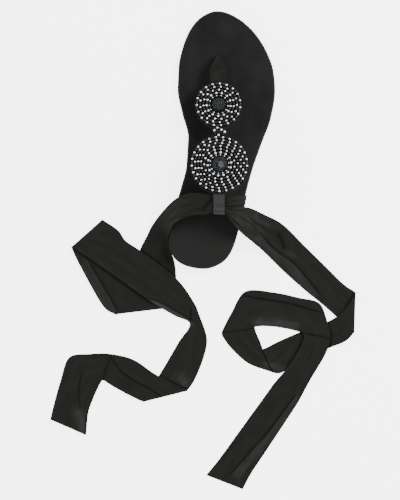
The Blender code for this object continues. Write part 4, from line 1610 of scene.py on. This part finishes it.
@dataclass(frozen=True)
class Tie:
    """A free end of the sash, laid on the ground in flat folds."""

    name: str
    rows: tuple[Row, ...]
    creases: tuple[Crease, ...]
    flat: tuple[float, float]
    wall: float = 0.55 * MM
    floor: float = 0.75 * MM
    pitch: float = 1.4 * MM
    spread: float = 1.04
    under_loop: float = 1.8 * MM
    columns: int = 45
    pieces: int = 12
    gather: float = 0.5 * MM
    pleats: float = 5.5
    pleat_drift: float = 60.0
    crumple: float = 0.2 * MM
    crumple_size: float = 13 * MM
    wave: float = 0.2 * MM
    wave_size: float = 38 * MM
    hem: float = 2.0 * MM
    hem_blur: float = 0.2 * MM
    hem_glow: float = 0.06
    # Painted sheen along the round of each fold.
    fold_painted_sheen: float = 0.12
    # Thickness away from the hems, and what the hems add, as shares of the wall.
    thin_share: float = 0.8
    hem_share: float = 0.5
    # Lengths from the keeper over which the waves set in, and the gathers and the crumple come and go.
    wave_in: tuple[float, float] = (20 * MM, 100 * MM)
    gather_in: tuple[float, float] = (0.0, 6 * MM)
    gather_out: tuple[float, float] = (30 * MM, 120 * MM)
    crumple_in: tuple[float, float] = (10 * MM, 30 * MM)
    crumple_out: tuple[float, float] = (50 * MM, 160 * MM)
    # A Crease: where the cloth rises beside it, how far its seam of painted shade lies aside, and where its glow sets
    # in.
    soft_end: float = 6 * MM
    rise_over: tuple[float, float] = (-0.6 * MM, 0.5 * MM)
    shade_aside: float = 0.3 * MM
    glow_in: tuple[float, float] = (0.2 * MM, 1.4 * MM)
    rests_on: tuple[str, ...] = ("insole",)

    def heights(self) -> np.ndarray:
        """Find how high the rows lie.

        Returns:
            Height of both edges in each row.
        """
        crossing = KEEPER.centre[2] + KEEPER.room / 2 - self.under_loop
        rest = self.floor + (np.array([row.layer for row in self.rows]) - 1) * self.pitch
        hang = np.array([(row.hang_a, row.hang_b) for row in self.rows])
        return rest[:, None] + hang * (crossing - rest[:, None])

    def runs(self) -> list[tuple[int, np.ndarray]]:
        """Cut the tie into the flat runs between its folds.

        Returns:
            For each run its first row's number and the edge points of its rows.
        """
        z = self.heights()
        plan = np.array([((row.ax, row.ay), (row.bx, row.by)) for row in self.rows]) * MM + KEEPER.centre[:2]
        middle = plan.mean(axis=1, keepdims=True)
        plan = middle + (plan - middle) * self.spread
        points = np.concatenate([plan, z[..., None]], axis=2)
        folds = [k for k, row in enumerate(self.rows) if row.fold]
        runs, start = [], 0
        for fold in [*folds, len(points) - 1]:
            run = points[start : fold + 1].copy()
            if fold in folds:
                run[-1, :, 2] = run[-2, :, 2]
            if start:
                run[0, :, 2] = run[1, :, 2]
            runs.append((start, run))
            start = fold
        return runs

    def smooth(self, run: np.ndarray) -> np.ndarray:
        """Draw a run's edges as smooth curves and fill the cloth between them.

        Args:
            run: Edge points of its rows.

        Returns:
            A grid of points.
        """
        at = np.arange((len(run) - 1) * self.pieces + 1) / self.pieces
        edges = []
        for side in (0, 1):
            height = flowing(np.arange(len(run)), run[:, side, 2], at)
            edges.append(np.column_stack([through(run[:, side, :2], at), height]))
        across = np.linspace(0, 1, self.columns)[None, :, None]
        return edges[0][:, None] * (1 - across) + edges[1][:, None] * across

    def draw(self, shaded_crease: Crease, grid: np.ndarray, rows: np.ndarray) -> tuple[np.ndarray, np.ndarray, np.ndarray]:
        """Lift, seam of painted shade and glow of one Crease.

        Args:
            shaded_crease: The crease.
            grid: Points of a run.
            rows: Row number of each line of points, which may fall between two rows.

        Returns:
            Three values for each point.
        """
        knots = np.array(shaded_crease.points) * MM + KEEPER.centre[:2]
        if len(knots) > 2:
            knots = through(knots, np.linspace(0, len(knots) - 1, 5 * len(knots)))
        shape = grid.shape[:2]
        away, signed, past = np.full(shape, 1.0), np.zeros(shape), np.zeros(shape)
        for k, (a, b) in enumerate(zip(knots, knots[1:])):
            length = np.linalg.norm(b - a)
            way = (b - a) / length
            offset = grid[..., :2] - a
            along = offset @ way
            side = way[0] * offset[..., 1] - way[1] * offset[..., 0]
            near = np.hypot(side, along - np.clip(along, 0, length))
            beyond = np.maximum(-along if k == 0 else 0, along - length if k == len(knots) - 2 else 0)
            closer = near < away
            pairs = ((near, away), (side, signed), (beyond, past))
            away, signed, past = (np.where(closer, *pair) for pair in pairs)
        entered, left = eased(shaded_crease.first - 0.5, shaded_crease.first, rows), eased(shaded_crease.last, shaded_crease.last + 0.5, rows)
        here = (entered * (1 - left))[:, None]
        strip = abs(shaded_crease.strip) * MM
        fade = (1 - eased(0.0, self.soft_end, past)) * here
        lift = shaded_crease.lift * MM * fade * eased(*self.rise_over, signed)
        lift = lift * np.exp(-np.maximum(signed, 0) / self.soft_end)
        if not shaded_crease.dark:
            return lift, np.zeros_like(lift), np.exp(-((away / strip) ** 2)) * here * shaded_crease.glow
        aside = signed + self.shade_aside * np.sign(shaded_crease.lift)
        line = np.exp(-((aside / (shaded_crease.dark * MM)) ** 2)) * fade
        depth = signed * math.copysign(1, shaded_crease.strip)
        glow = eased(*self.glow_in, depth) * (1 - eased(strip, strip * 1.5, depth))
        return lift, line, glow * fade * shaded_crease.glow

    def fold(self, before: np.ndarray, after: np.ndarray) -> np.ndarray:
        """Bend the cloth round the fold line between two runs.

        Args:
            before: Grid of the run that ends at the fold.
            after: Grid of the run that starts there.

        Returns:
            Half-round rows between the two.
        """
        low, high, line = before[-3], after[2], before[-1]
        z_low, z_high = low[:, 2], high[:, 2]
        middle, radius = (z_low + z_high) / 2, np.abs(z_high - z_low) / 2
        crossways = line[-1] - line[0]
        outwards = np.array([crossways[1], -crossways[0], 0.0]) / np.linalg.norm(crossways)
        outwards *= math.copysign(1, (before[-1] - before[-4]).mean(axis=0) @ outwards)
        rows = []
        for angle in np.linspace(0, np.pi, 9):
            row = line + outwards * ((np.sin(angle) - 1) * radius)[:, None]
            row[:, 2] = middle - np.cos(angle) * (z_high - z_low) / 2
            rows.append(row)
        return np.array(rows)

    def folded(self) -> tuple[np.ndarray, np.ndarray, np.ndarray]:
        """Lay the runs one after another with their creases, and join them round their folds.

        Returns:
            The tie's grid of points, and the painted shade of the seams and the glow at each point.
        """
        layers = []
        for start, run in self.runs():
            grid = self.smooth(run)
            rows = start + np.arange(len(grid)) / self.pieces
            drawn = [self.draw(shaded_crease, grid, rows) for shaded_crease in self.creases]
            lift, dark, glow = (np.max(values, axis=0) for values in zip(*drawn))
            grid[..., 2] += lift
            layers.append(np.dstack([grid, dark, glow]))
        parts = [layers[0]]
        for before, after in zip(layers, layers[1:]):
            bend = self.fold(before[..., :3], after[..., :3])
            plain = np.zeros(bend.shape[:2])
            parts[-1] = parts[-1][:-2]
            parts += [np.dstack([bend, plain, plain + self.fold_painted_sheen]), after[2:]]
        whole = np.vstack(parts)
        return whole[..., :3].copy(), whole[..., 3], whole[..., 4]

    def build(self, cloth: Any) -> None:
        """Make the tie as one doubled cloth.

        Args:
            cloth: Its finish.
        """
        grid, dark, glow = self.folded()
        along = lengths_along(grid)
        across = np.linspace(0, self.flat[0], self.columns) * np.ones((len(grid), 1))
        x, y = grid[..., 0], grid[..., 1]
        wave = soft_noise(x, y, self.wave_size, 1.0) * self.wave * eased(*self.wave_in, along)
        gathered = eased(*self.gather_in, along) * (1 - eased(*self.gather_out, along))
        turns = across / self.flat[0] * self.pleats * math.pi + along * self.pleat_drift
        crumple = soft_noise(x, y, self.crumple_size, 3.0) * self.crumple
        crumple *= eased(*self.crumple_in, along) * (1 - eased(*self.crumple_out, along))
        grid[..., 2] += np.maximum(wave, -self.wave) + np.sin(turns) * self.gather * gathered + crumple
        inwards = np.minimum(across, self.flat[0] - across)
        hem = eased(self.hem + self.hem_blur, self.hem - self.hem_blur, inwards)
        # Painted light: the seams carry painted shade, and the glow lightens lone layers of sheer cloth and puts on
        # painted sheen.
        marks = {"across": across, "along": along, "shaded_crease": dark, "sheer_and_sheen": np.maximum(glow, self.hem_glow * hem)}
        wall = self.wall * (self.thin_share + self.hem_share * hem)
        piece = shell(f"sash_{self.name}", grid, wall, cloth, marks)
        settle(piece, self.name)


TIE_LEFT = Tie(
    "tie_left",
    (
        Row(-1, 7, -1, -7, 1.00, 1.00), Row(-6.5, 7.1, -6.5, -7.3, 1.00, 1.00), Row(-13, 8.8, -13, -9.8, 0.97, 0.98),
        Row(-24, 9.2, -24, -11.4, 0.90, 0.93), Row(-34, 6.8, -33.4, -15.4, 0.77, 0.83),
        Row(-43.5, 1.2, -40.5, -19, 0.58, 0.66), Row(-54, -11, -45.6, -27, 0.31, 0.48),
        Row(-62.3, -23.6, -46.45, -36, 0.10, 0.24), Row(-67.4, -35.4, -44.9, -46, 0.01, 0.07),
        Row(-72.5, -47.6, -40.6, -56, 0.00, 0.01), Row(-75.5, -61, -38.2, -67), Row(-79, -75, -38.4, -80),
        Row(-93.4, -112.3, -48.8, -104, fold=True), Row(-106, -103.5, -68, -80, layer=2),
        Row(-130.5, -66, -101, -37, layer=2), Row(-139.4, -50, -112, -22.2, layer=2, fold=True),
        Row(-120, -60, -96.2, -31.6, layer=3), Row(-109, -67, -88, -41.3, layer=3),
        Row(-94, -76, -73.4, -50, layer=3), Row(-60, -97, -37.2, -74.2, layer=3),
        Row(-36.2, -109.5, -18.9, -95.4, layer=2), Row(-20.6, -116.8, -12, -108.2), Row(-29.8, -135, -3.8, -129.5),
        Row(-39.4, -154.6, -5.6, -148), Row(-53, -181, -13, -170.4), Row(-60.5, -195, -19.4, -181.8, fold=True),
        Row(-72.8, -190, -49.8, -168.8, layer=2), Row(-88, -183, -73.2, -155.5), Row(-99.2, -177.1, -96, -151.4),
        Row(-101.4, -176.4, -116, -152.8), Row(-104, -179.6, -134.6, -157.4), Row(-109.4, -193.4, -141.5, -180.4),
        Row(-113.7, -209, -146.5, -204), Row(-114.6, -230.8, -149, -218.4),
    ),
    (
        # Dark seams in this table are painted shade in the creases and painted shadows where a layer or an edge lies
        # over the cloth; glows are lighter strips of lone sheer cloth and painted sheen on shiny patches.
        Crease(12, 15, ((-121.5, -63.0), (-109.8, -80.1), (-99.7, -94.9), (-93.2, -105.2)), 0.5, strip=-12, glow=0.3),
        Crease(12, 15, ((-137, -51.6), (-120.5, -61.6), (-95, -77.8), (-60.5, -98.8)), 0.0, 1.3),
        Crease(6, 12, ((-73, -48.4), (-55, -61.0), (-36.6, -73.6)), 0.0, 1.3),
        Crease(18, 21, ((-60, -95.5), (-48.5, -98.6), (-34.6, -105.6), (-18.8, -113.4)), 0.0, 0.5, -5, 0.8),
        Crease(19, 22, ((-20.4, -104.5), (-20.1, -114.5)), 0.4),
        Crease(22, 25, ((-27, -168.5), (-17.5, -178.5)), 0.0, 0.0, 5.0, 0.6),
        Crease(22, 25, ((-49.5, -168.8), (-35, -174.4), (-19.5, -180.2)), 0.0, 1.2),
        Crease(25, 30, ((-94.2, -154.7), (-84.5, -166.0), (-71.5, -174.8), (-55, -181.8), (-44.4, -188.3)), 0.6),
        Crease(27, 31, ((-94.3, -152.7), (-97.4, -160.7), (-99.7, -169.6), (-100.5, -176.0)), 0.4),
        Crease(29, 33, ((-121.8, -172.9), (-123.7, -187.6), (-121.8, -202.0)), 0.4, 0.6),
        Crease(31, 33, ((-122.0, -210.0), (-118.0, -226.0)), 0.0, 0.0, 4.5, 0.7),
        Crease(1, 3, ((-8, 3.5), (-10.5, 0), (-13.5, -3.5)), 0.25, 1.6),
        Crease(3, 5, ((-34, -15), (-27, -13.6), (-20, -12.4)), 0.0, 1.4),
        Crease(2, 4, ((-8, -5.5), (-13, -6.5), (-20, -6)), 0.4, 0.6),
    ),
    (0.036, 0.588),
    gather=0.25 * MM,
)
TIE_RIGHT = Tie(
    "tie_right",
    (
        Row(1, -1, 1, -6.6, 1.00, 1.00), Row(6, -2.6, 6, -7.1, 1.00, 1.00), Row(10, -3, 9.6, -11.2, 0.97, 0.97),
        Row(17.5, -2.6, 15.5, -17.6, 0.86, 0.89), Row(28.5, -1.5, 23.5, -25.4, 0.60, 0.67),
        Row(45, -7.5, 35.6, -34.1, 0.26, 0.36), Row(63, -16, 47.4, -43, 0.05, 0.09), Row(85, -35, 66.4, -59.4),
        Row(107, -54, 89, -77.2), Row(125, -69.4, 108.4, -91), Row(137.4, -76.7, 138.5, -114.8, fold=True),
        Row(129, -94, 130, -124, layer=2), Row(112, -107, 114, -132), Row(87.6, -118, 95, -145),
        Row(67.5, -128.2, 78.8, -152.6), Row(52, -137, 68.5, -158.8), Row(50.2, -134, 56.6, -156.8),
        Row(48.1, -130, 38, -151), Row(43.9, -122.3, 22.5, -138.9), Row(42.3, -118.4, 14.4, -129.8),
        Row(41.8, -116.2, 11.2, -124), Row(42.4, -115.6, 13.5, -116.8), Row(45, -115, 19.2, -104.2),
        Row(50, -114, 31.4, -82.8), Row(63, -114, 59, -82), Row(79, -116, 83, -85.5, layer=2),
        Row(88, -118, 102.4, -89.2, layer=2), Row(90, -120, 110.7, -104.1, layer=2),
        Row(91, -123, 115, -122, layer=2), Row(87, -135, 111.6, -138, layer=2), Row(77.6, -152, 99, -163, layer=2),
        Row(64.7, -169.5, 90.4, -181.6), Row(59.1, -178.5, 85, -192), Row(34.5, -217.6, 62, -232),
        Row(18.3, -243.4, 47.5, -257.2), Row(5.2, -262.3, 40, -273.3),
    ),
    (
        # Dark seams in this table are painted shade in the creases and painted shadows where a layer or an edge lies
        # over the cloth; glows are lighter strips of lone sheer cloth and painted sheen on shiny patches and
        # wrinkles.
        Crease(5, 9, ((44, -27), (56.7, -39.1), (74.4, -50.1), (87.3, -62.5), (101, -77)), 0.5, strip=-7, glow=0.33),
        Crease(3, 6, ((28.7, -11.1), (34.8, -14.5), (43, -22.7)), 0.0, 0.0, 1.4, 0.3),
        Crease(3, 6, ((34.4, -9.2), (39.5, -13.3), (47.5, -16.6)), 0.0, 0.0, 1.4, 0.26),
        Crease(3, 6, ((32.2, -11.8), (38.3, -16.3), (42.8, -18.4)), 0.3, 0.7),
        Crease(6, 8, ((60.2, -25.5), (62.9, -30.2), (65.2, -35.9)), 0.0, 2.2),
        Crease(6, 9, ((70, -42.3), (76.5, -45.3)), 0.0, 0.0, 1.5, 0.28),
        Crease(1, 6, ((8, -7.5), (16, -14.5), (26, -24)), 0.4, 0.6),
        Crease(2, 7, ((12, -5), (24, -11.5), (36, -19)), 0.4, 0.3),
        Crease(2, 5, ((10, -3.2), (20, -3.8), (27, -2.6)), 0.4, 0.5),
        Crease(8, 10, ((136.4, -77.5), (128, -92), (123.4, -101.5)), 0.0, 1.3),
        Crease(22, 27, ((31.2, -86), (43.3, -87.7), (72.7, -90.6), (101, -96.5)), 0.5, 0.9),
        Crease(22, 26, ((44, -111.5), (61, -110.0), (80, -112.5)), 0.0, 0.0, 4.5, 0.65),
        Crease(14, 17, ((50.6, -136), (55.9, -147.0), (62, -157.5)), 0.5),
        Crease(13, 17, ((56, -151.5), (70, -155)), 0.0, 0.0, 3.5, 0.6),
        Crease(18, 22, ((10.5, -123.4), (26.0, -120.3), (41, -116.8)), 0.4, 0.45),
        Crease(26, 29, ((87, -118.2), (101.6, -119.8), (115.5, -121.8)), 0.5),
        Crease(11, 14, ((89.6, -120), (85.5, -135), (76.2, -152)), 0.0, 1.5),
        Crease(11, 13, ((112, -105), (117.2, -122), (113.8, -137)), 0.0, 1.1),
        Crease(31, 35, ((84, -182), (63.1, -214.3), (45.2, -237.3), (29.6, -257.7)), 0.5, strip=7, glow=0.35),
    ),
    (0.036, 0.575),
    gather=0.3 * MM,
    crumple=0.6 * MM,
    crumple_size=9 * MM,
)


@dataclass(frozen=True)
class SideBand:
    """The sash inside the keeper, gathered, down to the sole's ledge on both sides."""

    wall: float = 1.0 * MM
    half_width: float = 8.2 * MM
    flat_share: float = 1.7
    inner_drift: float = 5.0 * MM
    outer_drift: float = -3.6 * MM
    over_loop: float = 1.2 * MM
    past_edge: float = 0.1 * MM
    lift: float = 0.35 * MM
    gather: float = 0.28 * MM
    gathers: float = 11.0
    sway: float = 0.6
    sway_length: float = 9 * MM
    soft_end: float = 6 * MM
    # Depth of a gather, as a share, over which painted shade darkens its hollow, and how dark that painted shade
    # gets.
    shade_over: tuple[float, float] = (0.45, 0.95)
    gather_shade: float = 0.6
    # Share of the way on the inner and on the outer side, of the height, of the half width and of the drift.
    rows: Table = (
        (0.00, 0.00, 1.00, 0.68, 0.00), (0.20, 0.24, 1.00, 0.69, 0.00), (0.44, 0.50, 0.90, 0.84, 0.40),
        (0.70, 0.80, 0.66, 0.90, 0.80), (0.90, 1.02, 0.40, 0.86, 1.00), (0.98, 1.03, 0.22, 0.84, 1.00),
        (1.00, 1.00, 0.10, 0.84, 1.00), (1.00, 1.00, 0.00, 0.84, 1.00),
    )

    def plain(self, across: np.ndarray, pieces: int = 10) -> np.ndarray:
        """Lay the band from side to side without its gathers.

        Args:
            across: Places across it, from -1 to 1.
            pieces: Steps between two rows.

        Returns:
            A grid of points.
        """
        table = np.array(self.rows)
        at = np.arange((len(table) - 1) * pieces + 1) / pieces
        smooth = np.column_stack([flowing(np.arange(len(table)), table[:, k], at) for k in range(5)])
        centre = KEEPER.centre
        crossing = centre[2] - KEEPER.room / 2 + self.over_loop
        halves = []
        for side, column, drift in ((-1, 0, self.inner_drift), (1, 1, self.outer_drift)):
            y = centre[1] + across[None] * self.half_width * smooth[:, 3:4] - smooth[:, 4:5] * drift
            edge = SOLE.edges(y)[column] + side * self.past_edge
            ledge = SOLE.top(y) + self.lift
            x = centre[0] + smooth[:, column : column + 1] * (edge - centre[0])
            halves.append(np.dstack([x, y, ledge + smooth[:, 2:3] * (crossing - ledge)]))
        return np.vstack([halves[0][::-1], halves[1][1:]])

    def build(self, cloth: Any, columns: int = 33) -> None:
        """Make the band with its gathers.

        Args:
            cloth: Its finish.
            columns: Points across it.
        """
        across = np.linspace(-1, 1, columns)
        grid = self.plain(across)
        along = lengths_along(grid)
        free = eased(0.0, self.soft_end, along) * eased(0.0, self.soft_end, along[-1] - along)
        wave = np.sin(across * self.gathers + self.sway * np.sin(along / self.sway_length))
        grid += normals_of(grid) * (wave * self.gather * free)[..., None]
        marks = {
            "across": np.tile(across * self.half_width, (len(grid), 1)),
            "along": along,
            # Painted shade in the hollows of the gathers.
            "shaded_crease": eased(*self.shade_over, -wave) * self.gather_shade,
            "sheer_and_sheen": np.zeros_like(along),
        }
        piece = shell("sash_band", grid, self.wall, cloth, marks)
        settle(piece, "side_band")


# Studio


@dataclass(frozen=True)
class Studio:
    """Pale floor, soft light and the camera straight above, turned as in the picture."""

    up: float = 483.7 * MM
    middle: tuple[float, float] = (-15.4 * MM, -106.8 * MM)
    turn_deg: float = 3.681
    distance: float = 18.0
    sight: float = 50.0
    focus_height: float = 8 * MM
    floor_size: float = 8.0
    floor_tone: float = 0.93
    floor_glow: float = 1.2
    paper_glow: float = 2.8
    sky: float = 0.98
    sensor: float = 36.0

    def camera(self) -> None:
        """Make the camera, far away so that the lines stay straight."""
        data = bpy.data.cameras.new("camera")
        data.sensor_width = self.sensor
        data.lens = self.sensor * self.distance / self.up
        data.clip_end = self.sight
        made = new_object("camera", data)
        made.location = (*self.middle, self.distance + self.focus_height)
        made.rotation_euler = (0.0, 0.0, math.radians(self.turn_deg))
        bpy.context.scene.camera = made

    def lamp(self, name: str, place: tuple[float, float, float], size: float, power: float) -> None:
        """Add a square soft light that faces the sandal.

        Args:
            name: The light's name.
            place: Where it hangs.
            size: Length of its side.
            power: Its power in watts.
        """
        data = bpy.data.lights.new(name, "AREA")
        data.size, data.energy = size, power
        made = new_object(name, data)
        made.location = place
        aim = Vector((*self.middle, 0.0)) - made.location
        made.rotation_euler = aim.to_track_quat("-Z", "Y").to_euler()

    def build(self) -> None:
        """Make the floor, which looks paler to the camera than it lights the sandal, the world and the lights."""
        white = (1.0, 1.0, 1.0, 1.0)
        material, nodes, shader = new_finish(
            "floor_paper",
            Base_Color=(*[self.floor_tone] * 3, 1.0),
            Roughness=0.9,
            Specular_IOR_Level=0.1,
            Emission_Color=white,
        )
        seen = nodes.add("ShaderNodeLightPath").outputs["Is Camera Ray"]
        glow = nodes.sum(nodes.times(seen, self.paper_glow), self.floor_glow)
        nodes.feed(shader.inputs["Emission Strength"], glow)
        half = self.floor_size / 2
        corners = np.array([(-half, -half, 0), (half, -half, 0), (half, half, 0), (-half, half, 0)])
        new_piece("floor", corners, [(0, 1, 2, 3)], material)
        world = bpy.data.worlds.new("studio")
        world.use_nodes = True
        background = world.node_tree.nodes["Background"]
        background.inputs["Color"].default_value = white
        background.inputs["Strength"].default_value = self.sky
        bpy.context.scene.world = world
        self.lamp("key", (1.1, 0.7, 1.5), 0.9, 44.0)
        self.lamp("fill", (-1.2, -0.5, 1.4), 1.6, 10.0)


def main() -> None:
    """Build the sandal's looks and the studio around it."""
    logging.basicConfig(level=logging.INFO, format="%(message)s")
    studio = Studio()
    studio.camera()
    cloth, silver, jet = SHEER.make(), SILVER.make(), JET.make()
    trees = {
        "ring": bead_ring_tree(silver, jet),
        "dome": seed_dome_tree(STEEL_BLUE.make()),
        "bright": bead_spots_tree(silver),
        "dark": bead_spots_tree(jet),
    }
    TIE_LEFT.build(cloth)
    TIE_RIGHT.build(cloth)
    SideBand().build(cloth)
    SOLE.build(SUEDE.make(), RUBBER.make())
    strap_suede, felt = STRAP_SUEDE.make(), FELT.make()
    STRAP.build(strap_suede)
    STRAP.build_bridge(trees, strap_suede)
    FRONT.build(STRAP.seat(STRAP.front_at), trees, felt)
    BACK.build(STRAP.seat(STRAP.back_at), trees, felt)
    CutStone().build(STRAP.seat(STRAP.back_at), STONE.make())
    KEEPER.build(SATIN.make())
    studio.build()
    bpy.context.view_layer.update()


if __name__ == "__main__":
    main()
